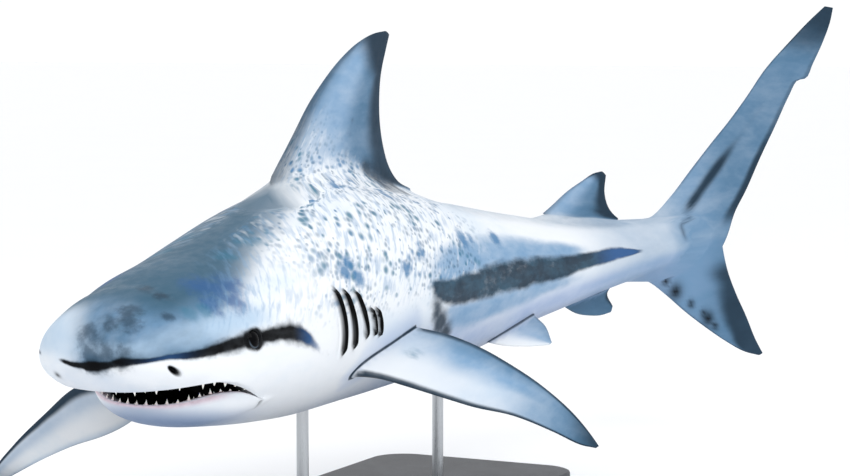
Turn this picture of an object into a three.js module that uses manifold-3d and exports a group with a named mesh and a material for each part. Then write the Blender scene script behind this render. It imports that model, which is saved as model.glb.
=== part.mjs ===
// A still, life-size bull shark turning gently to its left, on a plain display stand.
//
// Millimetres, +Z up. The origin is the middle of the stand's underside. The head looks along -X and
// the animal's left side faces -Y.
//
// Everything on the animal is drawn in its own straight space first: `along` runs from the snout tip
// towards the tail, `left` is the distance from the middle plane and `height` is measured from the
// body axis. place() then bends that space along an arc and lifts it onto the stand.
import * as THREE from 'three';
import Module from 'manifold-3d';

const wasm = await Module();
wasm.setup();
const { Manifold, Mesh: SolidMesh } = wasm;

// ---------------------------------------------------------------- driving dimensions
const GAP = 0.3;                 // air left between neighbouring pieces
const AXIS_HEIGHT = 430;         // body axis above the floor
const STAND_ALONG = 870;         // the stand's middle, measured from the snout tip
const STAND_LEFT = 20;
const BEND_START = 700;          // behind the pectoral fins the body follows an arc to the left
const BEND_RADIUS = 2660;

const HEAD_END = 655;            // behind the last gill slit
const TRUNK_END = 1450;          // behind the pelvic fins
const STOCK_END = 1800;          // where the tail fin starts
const CORE_END = 2025;           // the fleshy core that runs on inside the tail fin
const RING_POINTS = 40;

// Cross-sections: along, top, bottom, half width, height of the widest line, upper and lower fullness
const SECTIONS = [
  [0, -23, -23, 0, -23, 2.0, 2.0],          // snout tip
  [10, 15, -54, 69, -24, 2.1, 2.1],
  [37, 38, -79, 108, -30, 2.1, 2.2],        // rim of the blunt snout
  [87, 59, -97, 133, -38, 2.1, 2.3],        // nostrils
  [124, 71, -106, 145, -44, 2.1, 2.2],      // front of the upper jaw
  [144, 75, -135, 149, -46, 2.1, 2.1],      // chin
  [164, 80, -150, 154, -48, 2.1, 2.1],
  [212, 94, -162, 164, -48, 2.1, 2.1],      // eyes
  [300, 112, -174, 174, -45, 2.1, 2.1],     // corners of the mouth
  [425, 145, -186, 185, -35, 2.1, 2.1],
  [562, 183, -193, 191, -20, 2.0, 2.1],     // gills
  [750, 210, -192, 193, -2, 2.0, 2.1],      // deepest part, under the first dorsal fin
  [950, 185, -186, 183, -7, 2.0, 2.1],
  [1200, 141, -160, 152, -14, 2.0, 2.0],    // pelvic fins
  [1400, 108, -124, 118, -12, 2.0, 2.0],
  [1600, 81, -89, 84, -4, 2.0, 2.0],        // second dorsal fin
  [1750, 72, -60, 60, 7, 2.0, 2.0],
  [1862, 68, -42, 40, 14, 2.0, 2.0],        // tail fin
  [1950, 62, -24, 20, 19, 2.0, 2.0],
  [2010, 52, -4, 8, 24, 2.0, 2.0],
  [2050, 36, 20, 0, 28, 2.0, 2.0],
];

// Loft rows along each length of the body
const HEAD_ROWS = [3, 10, 20, 37, 60, 87, 108, 122, 133, 144, 164, 190, 212, 240, 270, 300, 345, 400, 460, 520, 590];
const TRUNK_ROWS = [720, 785, 850, 920, 1000, 1080, 1160, 1240, 1310, 1380];
const STOCK_ROWS = [1510, 1570, 1630, 1690, 1745];
const CORE_ROWS = [1850, 1905, 1960, 2000];

// Mouth: the upper and lower jaws are half ellipses in plan, open at the front and closed at the corners
const MOUTH_CORNER = 290;
const UPPER_JAW = { front: 108, halfWidth: 150 };
const LOWER_JAW = { front: 140, halfWidth: 151 };
const THROAT_CUT = 345;
const LIP_RADIUS = 5;
const PALATE_RISE = 40;
const MOUTH_FLOOR_DROP = 26;
const SNOUT_UNDERSIDE_SAG = 10;
const BLOCK_WIDTH = 230;         // reaches past both cheeks
const BLOCK_DEPTH = -260;        // reaches past the belly
const UPPER_LINE = [[0, -72], [150, -72], [189, -77], [232, -90], [262, -104], [MOUTH_CORNER, -118], [THROAT_CUT, -124]];
const LOWER_LINE = [[120, -114], [140, -114], [160, -108], [185, -98], [212, -93], [240, -95.5], [265, -106],
  [MOUTH_CORNER, -118 - GAP], [THROAT_CUT, -124 - GAP]];
const TEETH_PER_SIDE = 11;
const TOOTH = { width: 13, thickness: 5, upperLength: 19, lowerLength: 10, root: 5 };

// Head details
const EYE = { along: 239, height: -13, radius: 23, opening: 15, lid: 3.2 };
const NOSTRIL = { along: 66, height: -47, length: 16, width: 4.5, depth: 9 };
// Gill slits: along and height of the top, then of the bottom
const GILLS = [[486, 52, 500, -74], [513, 46, 538, -67], [546, 41, 580, -53], [591, 6, 609, -50], [612, 4, 629, -53]];
const GILL = { width: 12, depth: 16, slant: 2, bow: 6 };

// Fins on the middle plane, margins as (along, height)
const FIRST_DORSAL = {
  lead: [[536, 178], [581, 210], [620, 246], [679, 300], [726, 344], [783, 387], [846, 427], [912, 458], [965, 473], [1000, 477]],
  trail: [[1150, 148], [1091, 174], [1042, 193], [1011, 223], [993, 259], [982, 300], [979, 348], [985, 396], [1003, 444], [1014, 470]],
  thickness: 44, tip: 4, sink: -50, flare: 0.8,
};
const SECOND_DORSAL = {
  lead: [[1490, 88], [1545, 116], [1598, 146], [1640, 164], [1680, 180], [1703, 183]],
  trail: [[1796, 68], [1765, 76], [1743, 88], [1724, 106], [1712, 138], [1716, 174]],
  thickness: 16, tip: 3, sink: -40,
};
const ANAL = {
  lead: [[1578, -90], [1630, -114], [1670, -121], [1704, -123], [1733, -119]],
  trail: [[1786, -45], [1760, -52], [1737, -62], [1723, -77], [1740, -106]],
  thickness: 13, tip: 3, sink: 40,
};
const TAIL_UPPER = {
  lead: [[1740, 0], [1780, 60], [1858, 80], [1912, 120], [1970, 175], [2028, 230], [2085, 283], [2130, 330], [2185, 393],
    [2255, 455], [2312, 503], [2352, 533]],
  trail: [[2062, -12], [2074, 8], [2105, 82], [2132, 122], [2175, 198], [2217, 268], [2257, 338], [2277, 367],
    [2303, 373], [2320, 403], [2348, 453], [2369, 503], [2375, 530]],
  thickness: 24, tip: 4, sink: 0,
};
const TAIL_LOWER = {
  lead: [[1740, 0], [1780, -40], [1855, -64], [1900, -92], [1960, -134], [2020, -172], [2080, -207], [2140, -236], [2178, -246]],
  trail: [[2062, 18], [2069, 4], [2081, -45], [2108, -100], [2140, -155], [2170, -212], [2190, -242]],
  thickness: 22, tip: 4, sink: 0,
};
const TAIL_SPLIT = [[1800, -20], [2070, 2]];   // the two lobes part along this line

// Paired fins, margins as (out, back) from the front of the root, then laid out by their pose
const PECTORAL = {
  lead: [[-60, -12], [0, 0], [90, 1], [190, 38], [290, 110], [370, 168], [430, 216], [458, 247]],
  trail: [[-60, 150], [0, 170], [45, 198], [72, 209], [100, 194], [160, 186], [240, 192], [325, 214], [400, 238], [462, 256]],
  thickness: 30, tip: 4,
};
const PELVIC = {
  lead: [[-40, -34], [0, -24], [40, 0], [80, 50], [105, 95]],
  trail: [[-40, 120], [0, 150], [18, 158], [34, 143], [66, 136], [105, 107]],
  thickness: 14, tip: 3,
};
const HALF_SPAN_SWEEP = 0.5;     // the line about which a paired fin twists goes back this much per millimetre out
const TWIST_SPAN = 240;
const CURL_SPAN = 400;
const POSES = {                  // degrees: sweep back, droop, extra droop at the tip, nose-down twist at root and tip
  pectoral_fin_left: { shape: PECTORAL, root: [578, 172, -112], sweep: 22, droop: -7.5, curl: 45, twist: [20, 31] },
  pectoral_fin_right: { shape: PECTORAL, root: [578, 172, -112], sweep: -26, droop: 20, curl: 7, twist: [5, -42] },
  pelvic_fin_left: { shape: PELVIC, root: [1231, 70, -113], sweep: 8, droop: 24, curl: 0, twist: [16, 16] },
  pelvic_fin_right: { shape: PELVIC, root: [1231, 70, -113], sweep: 8, droop: 24, curl: 0, twist: [16, 16] },
};
const CHORD_STEPS = [0.04, 0.13, 0.27, 0.45, 0.66, 0.86, 1];
const SPAN_STEPS = [0, 0.07, 0.14, 0.22, 0.31, 0.41, 0.52, 0.63, 0.74, 0.84, 0.93, 1];

// Stand
const BASE = { length: 1150, width: 440, thickness: 22, corner: 70, bevel: 4 };
const ROD_RADIUS = 11;
const RODS = { stand_rod_front: 700, stand_rod_rear: 1180 };

// ---------------------------------------------------------------- small maths
const radians = THREE.MathUtils.degToRad;
const smooth = (x, low, high) => THREE.MathUtils.smoothstep(x, low, high);
const mix = THREE.MathUtils.lerp;

/** Smooth curve through (x, y) that never overshoots between two neighbours. */
function monotone(xs, ys) {
  const step = xs.slice(1).map((x, i) => x - xs[i]);
  const rise = ys.slice(1).map((y, i) => (y - ys[i]) / step[i]);
  const slope = [rise[0], ...step.slice(1).map((next, i) => {
    if (rise[i] * rise[i + 1] <= 0) return 0;
    const [a, b] = [2 * next + step[i], next + 2 * step[i]];
    return (a + b) / (a / rise[i] + b / rise[i + 1]);
  }), rise.at(-1)];
  return (x) => {
    const i = Math.min(Math.max(xs.findLastIndex((k) => k <= x), 0), step.length - 1);
    const t = (x - xs[i]) / step[i];
    return (1 + 2 * t) * (1 - t) ** 2 * ys[i] + t * (1 - t) ** 2 * step[i] * slope[i]
      + t * t * (3 - 2 * t) * ys[i + 1] + t * t * (t - 1) * step[i] * slope[i + 1];
  };
}

/** Smooth line through plan points, t from 0 to 1 by distance along it. */
function outline(points) {
  const reach = [0];
  points.slice(1).forEach((p, i) => reach.push(reach[i] + Math.hypot(p[0] - points[i][0], p[1] - points[i][1])));
  const curve = [0, 1].map((k) => monotoneFree(reach, points.map((p) => p[k])));
  return (t) => curve.map((at) => at(t * reach.at(-1)));
}

/** Cubic through (x, y) with slopes averaged from both neighbours, so it may swell between them. */
function monotoneFree(xs, ys) {
  const step = xs.slice(1).map((x, i) => x - xs[i]);
  const rise = ys.slice(1).map((y, i) => (y - ys[i]) / step[i]);
  const slope = [rise[0], ...step.slice(1).map((next, i) => (next * rise[i] + step[i] * rise[i + 1]) / (step[i] + next)),
    rise.at(-1)];
  return (x) => {
    const i = Math.min(Math.max(xs.findLastIndex((k) => k <= x), 0), step.length - 1);
    const t = (x - xs[i]) / step[i];
    return (1 + 2 * t) * (1 - t) ** 2 * ys[i] + t * (1 - t) ** 2 * step[i] * slope[i]
      + t * t * (3 - 2 * t) * ys[i + 1] + t * t * (t - 1) * step[i] * slope[i + 1];
  };
}

/** Bends the straight space along its arc and stands it over the base. */
function place([along, left, height]) {
  const turn = Math.max(along - BEND_START, 0) / BEND_RADIUS;
  const forward = Math.min(along, BEND_START) + BEND_RADIUS * Math.sin(turn);
  const sideways = BEND_RADIUS * (1 - Math.cos(turn));
  return [
    forward - left * Math.sin(turn) - STAND_ALONG,
    STAND_LEFT - (sideways + left * Math.cos(turn)),
    height + AXIS_HEIGHT,
  ];
}

// ---------------------------------------------------------------- solids
/** A closed body from points and triangles, turned the right way out. */
function solid(points, faces) {
  let volume = 0;
  for (let i = 0; i < faces.length; i += 3) {
    const [a, b, c] = [0, 1, 2].map((k) => new THREE.Vector3(...points[faces[i + k]]));
    volume += a.dot(b.cross(c));
  }
  const turned = volume < 0 ? faces.map((_, i) => faces[i - (i % 3) + (3 - (i % 3)) % 3]) : faces;
  return new Manifold(new SolidMesh({
    numProp: 3, vertProperties: new Float32Array(points.flat()), triVerts: new Uint32Array(turned),
  }));
}

/** Skins a row of rings. Point j of a ring mirrors point n - j, and both halves are split alike. */
function loft(rings, { startTip, endTip } = {}) {
  const n = rings[0].length;
  const points = rings.flat();
  const faces = [];
  for (let r = 0; r + 1 < rings.length; r++) {
    for (let j = 0; j < n; j++) {
      const [a, b] = [r * n + j, r * n + (j + 1) % n];
      const [d, c] = [a + n, b + n];
      faces.push(...(j < n / 2 ? [a, b, c, a, c, d] : [a, b, d, b, c, d]));
    }
  }
  const close = (first, tip, flip) => {
    const add = (a, b, c) => faces.push(...(flip ? [a, b, c] : [a, c, b]));
    if (tip) {
      points.push(tip);
      for (let j = 0; j < n; j++) add(points.length - 1, first + j, first + (j + 1) % n);
      return;
    }
    add(first, first + 1, first + n - 1);
    for (let j = 1; j < n - j - 1; j++) {
      add(first + j, first + j + 1, first + n - j);
      if (j + 1 < n - j - 1) add(first + j + 1, first + n - j - 1, first + n - j);
    }
  };
  close(0, startTip, false);
  close((rings.length - 1) * n, endTip, true);
  return solid(points.map(place), faces);
}

/** Turns a three.js geometry into a solid, its vertices moved by `move`. */
function fromGeometry(geometry, move = (p) => p) {
  const position = geometry.getAttribute('position');
  const seen = new Map();
  const points = [];
  const slot = [];
  for (let i = 0; i < position.count; i++) {
    const p = [position.getX(i), position.getY(i), position.getZ(i)];
    const key = p.map((v) => Math.round(v * 1e4)).join(' ');
    if (!seen.has(key)) {
      seen.set(key, points.length);
      points.push(p);
    }
    slot.push(seen.get(key));
  }
  const index = geometry.getIndex() ? [...geometry.getIndex().array] : slot.map((_, i) => i);
  const faces = [];
  for (let i = 0; i < index.length; i += 3) {
    const [a, b, c] = [slot[index[i]], slot[index[i + 1]], slot[index[i + 2]]];
    if (a !== b && b !== c && c !== a) faces.push(a, b, c);
  }
  return solid(points.map(move), faces);
}

const joined = (...solids) => Manifold.union(solids.flat());
const largest = (body) => body.decompose().sort((a, b) => b.volume() - a.volume())[0];

// ---------------------------------------------------------------- the body's surface
const sectionCurves = [1, 2, 3, 4, 5, 6].map((k) => monotone(
  SECTIONS.map((row) => Math.sqrt(row[0])), SECTIONS.map((row) => row[k])));

/** A point of the skin: angle 0 on the back, pi on the belly. `grow` swells the section. */
function skin(along, angle, grow = 0) {
  const [top, bottom, half, widest, upper, lower] = sectionCurves.map((at) => at(Math.sqrt(along)));
  const [sine, cosine] = [Math.sin(angle), Math.cos(angle)];
  const power = 2 / (cosine >= 0 ? upper : lower);
  const reach = (cosine >= 0 ? top - widest : widest - bottom) + grow;
  return [
    along,
    (half + grow) * Math.sign(sine) * Math.abs(sine) ** power,
    widest + reach * Math.sign(cosine) * Math.abs(cosine) ** power,
  ];
}

/** The skin at a height on one side (side +1 left, -1 right): the point, its outward normal and the line aft. */
function skinAt(along, height, side) {
  const angleAt = (a) => {
    let [low, high] = [0, Math.PI];
    for (let i = 0; i < 40; i++) {
      const middle = (low + high) / 2;
      if (skin(a, middle)[2] > height) low = middle; else high = middle;
    }
    return low;
  };
  const point = new THREE.Vector3(...skin(along, angleAt(along)));
  const aft = new THREE.Vector3(...skin(along + 4, angleAt(along + 4))).sub(point).normalize();
  const around = new THREE.Vector3(...skin(along, angleAt(along) + 0.02)).sub(point).normalize();
  const normal = new THREE.Vector3().crossVectors(aft, around).normalize();
  if (normal.y < 0) normal.negate();
  return [point, normal, aft].map((v) => v.multiply(new THREE.Vector3(1, side, 1)));
}

const ring = (along, grow) => Array.from({ length: RING_POINTS }, (_, j) => skin(along, (j / RING_POINTS) * 2 * Math.PI, grow));
const length = (start, rows, end, grow) => loft([start, ...rows, end].map((along) => ring(along, grow)));

const wholeHead = () => loft([...HEAD_ROWS, HEAD_END - GAP / 2].map((along) => ring(along, 0)), { startTip: SECTIONS[0].slice(0, 3).with(1, 0) });
const grownBody = length(HEAD_ROWS[4], [...HEAD_ROWS.slice(5), HEAD_END, ...TRUNK_ROWS, TRUNK_END, ...STOCK_ROWS,
  STOCK_END, ...CORE_ROWS], CORE_END, GAP);

// ---------------------------------------------------------------- mouth
const upperLine = monotone(...[0, 1].map((k) => UPPER_LINE.map((p) => p[k])));
const lowerLine = monotone(...[0, 1].map((k) => LOWER_LINE.map((p) => p[k])));
const mouthGap = (along) => upperLine(along) - lowerLine(along);

/** Half width of a jaw's arch in plan. */
function arch(jaw, along) {
  const t = THREE.MathUtils.clamp((along - jaw.front) / (MOUTH_CORNER - jaw.front), 0, 1);
  return jaw.halfWidth * Math.sqrt(1 - (1 - t) ** 2);
}

/** Underside of the snout and roof of the mouth. */
function roof(along, left) {
  const inside = 1 - Math.min(Math.abs(left) / Math.max(arch(UPPER_JAW, along), 1), 1) ** 2;
  const deep = smooth(along, 112, 165) * (1 - smooth(along, 262, 325));
  const sag = SNOUT_UNDERSIDE_SAG * (1 - Math.min(Math.abs(left) / 150, 1) ** 2) * (1 - smooth(along, 100, 190));
  return upperLine(along) - sag + PALATE_RISE * inside * deep;
}

/** Floor of the mouth. */
function floor(along, left) {
  const inside = 1 - Math.min(Math.abs(left) / Math.max(arch(LOWER_JAW, along), 1), 1) ** 2;
  const deep = smooth(along, 136, 180) * (1 - smooth(along, 262, 325));
  return lowerLine(along) - MOUTH_FLOOR_DROP * inside * deep;
}

/** A block under the surface z = top(along, left), as wide as wide(along) on each side. */
function under(rows, wide, top) {
  const columns = [1, 0.86, 0.68, 0.46, 0.23, 0];
  return loft(rows.map((along) => {
    const across = columns.map((c) => c * wide(along));
    const crest = (y) => [along, y, top(along, y)];
    const outwards = across.slice(0, -1).reverse();
    // the ring starts on the middle line, so that both sides mirror each other
    return [
      crest(0), ...outwards.map(crest), [along, across[0], BLOCK_DEPTH], [along, 0, BLOCK_DEPTH],
      [along, -across[0], BLOCK_DEPTH], ...across.slice(0, -1).map((y) => crest(-y)),
    ];
  }));
}

/** Points along a jaw's arch from the right corner round the front to the left corner. */
function archPath(jaw, steps, inset, endAlong) {
  const swing = Math.acos((MOUTH_CORNER - endAlong) / (MOUTH_CORNER - jaw.front));
  return Array.from({ length: steps + 1 }, (_, i) => {
    const a = mix(-swing, swing, i / steps);
    return { along: MOUTH_CORNER - (MOUTH_CORNER - jaw.front - inset) * Math.cos(a), left: (jaw.halfWidth - inset) * Math.sin(a), a };
  });
}

/** A rounded lip along a jaw's arch. */
function lip(jaw, level, inset) {
  const sides = 6;
  const path = archPath(jaw, 20, inset, 276);
  return loft(path.map(({ along, left, a }) => {
    const radius = Math.min(LIP_RADIUS, 0.4 * mouthGap(Math.max(along, LOWER_LINE[0][0])));
    return Array.from({ length: sides }, (_, j) => {
      const turn = (j / sides) * 2 * Math.PI;
      const out = radius * Math.cos(turn);
      return [along - out * Math.cos(a), left + out * Math.sin(a), level(along, left) + radius * Math.sin(turn)];
    });
  }));
}

/** Pointed teeth along a jaw's arch, `way` -1 for those that hang and +1 for those that stand. */
function teeth(jaw, level, inset, reach, way) {
  return archPath(jaw, 2 * TEETH_PER_SIDE, inset, 250).map(({ along, left, a }, i) => {
    const tall = Math.min(reach, 0.5 * mouthGap(Math.max(along, LOWER_LINE[0][0]))) * (i % 2 ? 0.88 : 1);
    const foot = level(along, left) - way * TOOTH.root;
    const corner = (across, deep) => [
      along + across * Math.sin(a) + deep * Math.cos(a), left + across * Math.cos(a) - deep * Math.sin(a), foot];
    const [w, d] = [TOOTH.width / 2, TOOTH.thickness / 2];
    const base = [corner(0, -d), corner(w, 0), corner(0, d), corner(-w, 0)];
    const [x, y] = corner(0, d * 0.8);
    return loft([base], { endTip: [x, y, foot + way * (TOOTH.root + tall)] });
  });
}

// ---------------------------------------------------------------- head details
/** A ball-shaped geometry squeezed to (aft, normal, around) radii at a place on the skin. */
function bead([point, normal, aft], radii, lift = 0, [segments, rows] = [14, 9]) {
  const around = new THREE.Vector3().crossVectors(aft, normal);
  return fromGeometry(new THREE.SphereGeometry(1, segments, rows), (p) => {
    const v = point.clone().addScaledVector(aft, p[0] * radii[0]).addScaledVector(normal, p[1] * radii[1] + lift)
      .addScaledVector(around, p[2] * radii[2]);
    return place(v.toArray());
  });
}

function eyeball(side, swell) {
  const depth = Math.sqrt(EYE.radius ** 2 - EYE.opening ** 2);
  const r = EYE.radius + swell;
  return bead(skinAt(EYE.along, EYE.height, side), [r, r, r], -depth, [20, 14]);
}

/** The rim of the lids, a round bead about the eye. */
function lid(side) {
  const [point, normal, aft] = skinAt(EYE.along, EYE.height, side);
  const around = new THREE.Vector3().crossVectors(aft, normal);
  const geometry = new THREE.TorusGeometry(EYE.opening + 1.5, EYE.lid, 6, 20);
  return fromGeometry(geometry, (p) => place(point.clone().addScaledVector(aft, p[0] * 1.06)
    .addScaledVector(around, p[1]).addScaledVector(normal, p[2] - 0.6).toArray()));
}

/** One slanting nostril and the raised fold over its front. */
function nostril(side) {
  const [point, normal, aft] = skinAt(NOSTRIL.along, NOSTRIL.height, side);
  const slanted = aft.clone().applyAxisAngle(normal, side * 0.6);
  return bead([point, normal, slanted], [NOSTRIL.length, NOSTRIL.depth, NOSTRIL.width], -1);
}
function nostrilFold(side) {
  const [point, normal, aft] = skinAt(NOSTRIL.along - 5, NOSTRIL.height + 4, side);
  const slanted = aft.clone().applyAxisAngle(normal, side * 0.6);
  return bead([point, normal, slanted], [NOSTRIL.length * 0.8, 3.5, NOSTRIL.width], 0, [10, 6]);
}

/** A gill slit: a bowed wedge, wide at the skin and slanting forwards inside. */
function gill([topAlong, topHeight, bottomAlong, bottomHeight], side) {
  const steps = 7;
  const at = (t) => skinAt(mix(topAlong, bottomAlong, t) + GILL.bow * Math.sin(Math.PI * t), mix(topHeight, bottomHeight, t), side);
  const rings = Array.from({ length: steps - 1 }, (_, i) => {
    const t = (i + 1) / steps;
    const [point, normal, aft] = at(t);
    const width = GILL.width * Math.sin(Math.PI * t) ** 0.5 / 2;
    const deep = GILL.depth * Math.sin(Math.PI * t) ** 0.5;
    return [
      point.clone().addScaledVector(normal, -deep).addScaledVector(aft, -GILL.slant),
      point.clone().addScaledVector(normal, 8).addScaledVector(aft, width + GILL.slant / 2),
      point.clone().addScaledVector(normal, 8).addScaledVector(aft, -width + GILL.slant / 2),
    ].map((v) => v.toArray());
  });
  return loft(rings, { startTip: at(0)[0].toArray(), endTip: at(1)[0].toArray() });
}

// ---------------------------------------------------------------- fins
/** Half thickness of a fin at a fraction of its chord, for a fin one unit thick. */
const foil = (c) => 5 * (0.2969 * Math.sqrt(c) - 0.126 * c - 0.3516 * c ** 2 + 0.2843 * c ** 3 - 0.1015 * c ** 4);

/** A fin between its margins. `lay` takes (first, second, off) to the straight space. */
function fin({ lead, trail, thickness, tip, flare = 0 }, lay, sinkRow) {
  const [front, rear] = [outline(lead), outline(trail)];
  const rings = SPAN_STEPS.map((t) => {
    const [a, b] = [front(t), rear(t)];
    const thick = mix(thickness, tip, t ** 0.85) * (1 + flare * Math.exp(-t / 0.1));
    const at = (c, side) => lay(mix(a[0], b[0], c), mix(a[1], b[1], c), side * (thick * foil(c) + 0.35));
    return [lay(...a, 0), ...CHORD_STEPS.map((c) => at(c, 1)), ...[...CHORD_STEPS].reverse().map((c) => at(c, -1))];
  });
  return loft(sinkRow ? [rings[0].map(sinkRow), ...rings] : rings);
}

const middleFin = (shape) => fin(shape, (along, height, off) => [along, off, height], ([s, y, z]) => [s, y, z + shape.sink]);

/** A paired fin, swept, twisted about its span and drooped. Side +1 is the animal's left. */
function pairedFin({ shape, root, sweep, droop, curl, twist }, side) {
  const turn = radians(sweep);
  return fin(shape, (out, back, off) => {
    const pitch = radians(mix(...twist, smooth(out, 0, TWIST_SPAN)));
    const spine = HALF_SPAN_SWEEP * Math.max(out, 0);
    const chord = back - spine;
    const lift = chord * Math.sin(pitch) + off * Math.cos(pitch);
    const aft = spine + chord * Math.cos(pitch) - off * Math.sin(pitch);
    const reach = out * Math.cos(turn) - aft * Math.sin(turn);
    const fall = radians(droop + curl * Math.max(reach, 0) / CURL_SPAN);
    return [
      root[0] + out * Math.sin(turn) + aft * Math.cos(turn),
      side * (root[1] + reach * Math.cos(fall) + lift * Math.sin(fall)),
      root[2] - reach * Math.sin(fall) + lift * Math.cos(fall),
    ];
  });
}

// ---------------------------------------------------------------- nodes
const COLOURS = { skin: 0x8fa9bf, back: 0x6d8aa6, fin: 0x7d97b0, eye: 0x0b0c0e, steel: 0x8b9096, base: 0x2e3136 };
const part = new THREE.Group();

function add(name, body, colour, roughness = 0.45, metalness = 0) {
  const { vertProperties, triVerts, numProp } = largest(body).getMesh();
  const geometry = new THREE.BufferGeometry();
  const position = new Float32Array((vertProperties.length / numProp) * 3);
  for (let i = 0; i < position.length; i++) position[i] = vertProperties[Math.floor(i / 3) * numProp + (i % 3)];
  geometry.setAttribute('position', new THREE.BufferAttribute(position, 3));
  geometry.setIndex(new THREE.BufferAttribute(new Uint32Array(triVerts), 1));
  geometry.computeVertexNormals();
  const mesh = new THREE.Mesh(geometry, new THREE.MeshStandardMaterial({ color: colour, roughness, metalness }));
  mesh.name = name;
  part.add(mesh);
}

function buildHead() {
  const rows = [20, 60, 90, 108, 116, 128, 145, 165, 192, 225, 255, MOUTH_CORNER, 316, THROAT_CUT];
  const mouth = under(rows, () => BLOCK_WIDTH, roof);
  const rounded = joined(
    wholeHead().subtract(mouth),
    lip(UPPER_JAW, (along, left) => roof(along, Math.sign(left) * 1e3) + 1, 4),
    teeth(UPPER_JAW, roof, 9, TOOTH.upperLength, -1),
    lid(1), lid(-1), nostrilFold(1), nostrilFold(-1),
  );
  const cuts = [1, -1].flatMap((side) => [eyeball(side, GAP), nostril(side), ...GILLS.map((g) => gill(g, side))]);
  add('head', rounded.subtract(joined(cuts)), COLOURS.back);
}

function buildJaw() {
  const rows = [LOWER_JAW.front + 0.5, 144, 150, 160, 175, 195, 220, 250, 275, MOUTH_CORNER, 316, THROAT_CUT - GAP];
  const wide = (along) => (along < MOUTH_CORNER ? arch(LOWER_JAW, along) : BLOCK_WIDTH);
  const jaw = joined(
    wholeHead().intersect(under(rows, wide, floor)),
    lip(LOWER_JAW, (along) => lowerLine(along) - 1, 4),
    teeth(LOWER_JAW, floor, 11, TOOTH.lowerLength, 1),
  );
  add('lower_jaw', jaw, COLOURS.skin);
}

function buildTail() {
  const blade = joined(length(STOCK_END + GAP / 2, CORE_ROWS, CORE_END, 0), middleFin(TAIL_UPPER), middleFin(TAIL_LOWER));
  const root = new THREE.Vector3(...place([STOCK_END, 0, 0]));
  const aft = new THREE.Vector3(...place([STOCK_END + 1, 0, 0])).sub(root).normalize();
  const whole = blade.trimByPlane(aft.toArray(), aft.dot(root) + GAP / 2);
  const [start, end] = TAIL_SPLIT.map(([along, height]) => new THREE.Vector3(...place([along, 0, height])));
  const across = new THREE.Vector3(...place([1935, 1, 0])).sub(new THREE.Vector3(...place([1935, 0, 0])));
  const up = new THREE.Vector3().crossVectors(end.clone().sub(start), across).normalize();
  if (up.z < 0) up.negate();
  const level = up.dot(start);
  add('caudal_fin_upper', whole.trimByPlane(up.toArray(), level + GAP / 2), COLOURS.fin);
  add('caudal_fin_lower', whole.trimByPlane(up.clone().negate().toArray(), -(level - GAP / 2)), COLOURS.fin);
}

function buildStand() {
  const [x, y, r] = [BASE.length / 2 - BASE.bevel, BASE.width / 2 - BASE.bevel, BASE.corner];
  const plan = new THREE.Shape();
  plan.moveTo(-x + r, -y);
  plan.lineTo(x - r, -y);
  plan.absarc(x - r, -y + r, r, -Math.PI / 2, 0);
  plan.lineTo(x, y - r);
  plan.absarc(x - r, y - r, r, 0, Math.PI / 2);
  plan.lineTo(-x + r, y);
  plan.absarc(-x + r, y - r, r, Math.PI / 2, Math.PI);
  plan.lineTo(-x, -y + r);
  plan.absarc(-x + r, -y + r, r, Math.PI, 1.5 * Math.PI);
  const plate = new THREE.ExtrudeGeometry(plan, {
    depth: BASE.thickness - 2 * BASE.bevel, bevelEnabled: true, bevelThickness: BASE.bevel, bevelSize: BASE.bevel,
    bevelSegments: 2, curveSegments: 8,
  });
  plate.translate(0, 0, BASE.bevel);
  add('stand_base', fromGeometry(plate), COLOURS.base, 0.5);
  for (const [name, along] of Object.entries(RODS)) {
    const [rodX, rodY, axis] = place([along, 0, 0]);
    const foot = BASE.thickness + GAP;
    const rod = new THREE.CylinderGeometry(ROD_RADIUS, ROD_RADIUS, axis - foot, 24);
    rod.rotateX(Math.PI / 2);
    rod.translate(rodX, rodY, (axis + foot) / 2);
    add(name, fromGeometry(rod).subtract(grownBody), COLOURS.steel, 0.3, 1);
  }
}

buildHead();
buildJaw();
add('trunk', length(HEAD_END + GAP / 2, TRUNK_ROWS, TRUNK_END - GAP / 2, 0), COLOURS.skin);
add('tail_stock', length(TRUNK_END + GAP / 2, STOCK_ROWS, STOCK_END - GAP / 2, 0), COLOURS.skin);
add('first_dorsal_fin', middleFin(FIRST_DORSAL).subtract(grownBody), COLOURS.fin);
add('second_dorsal_fin', middleFin(SECOND_DORSAL).subtract(grownBody), COLOURS.fin);
add('anal_fin', middleFin(ANAL).subtract(grownBody), COLOURS.fin);
for (const [name, pose] of Object.entries(POSES)) {
  add(name, pairedFin(pose, name.endsWith('left') ? 1 : -1).subtract(grownBody), COLOURS.fin);
}
buildTail();
add('eye_left', eyeball(1, 0), COLOURS.eye, 0.1);
add('eye_right', eyeball(-1, 0), COLOURS.eye, 0.1);
buildStand();

export default part;
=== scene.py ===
"""A still, life-size bull shark on a display stand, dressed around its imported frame."""

import bpy
import numpy as np
from bpy.props import FloatProperty, FloatVectorProperty, IntProperty, PointerProperty
from bpy.types import Operator, Panel, PropertyGroup
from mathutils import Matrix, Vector


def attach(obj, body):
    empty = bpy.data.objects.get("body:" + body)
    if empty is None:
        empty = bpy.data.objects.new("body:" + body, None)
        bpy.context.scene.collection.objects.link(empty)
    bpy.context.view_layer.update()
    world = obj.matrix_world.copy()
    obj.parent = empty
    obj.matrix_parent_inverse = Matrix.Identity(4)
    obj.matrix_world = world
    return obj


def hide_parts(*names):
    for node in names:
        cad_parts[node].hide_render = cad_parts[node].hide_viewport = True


bl_info = {
    "name": "Bull Shark Model",
    "version": (1, 0, 0),
    "blender": (4, 5, 0),
    "location": "View3D > Sidebar > Shark",
    "description": "Builds a still, life-size bull shark over its packed frame",
    "category": "Add Mesh",
}

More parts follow.
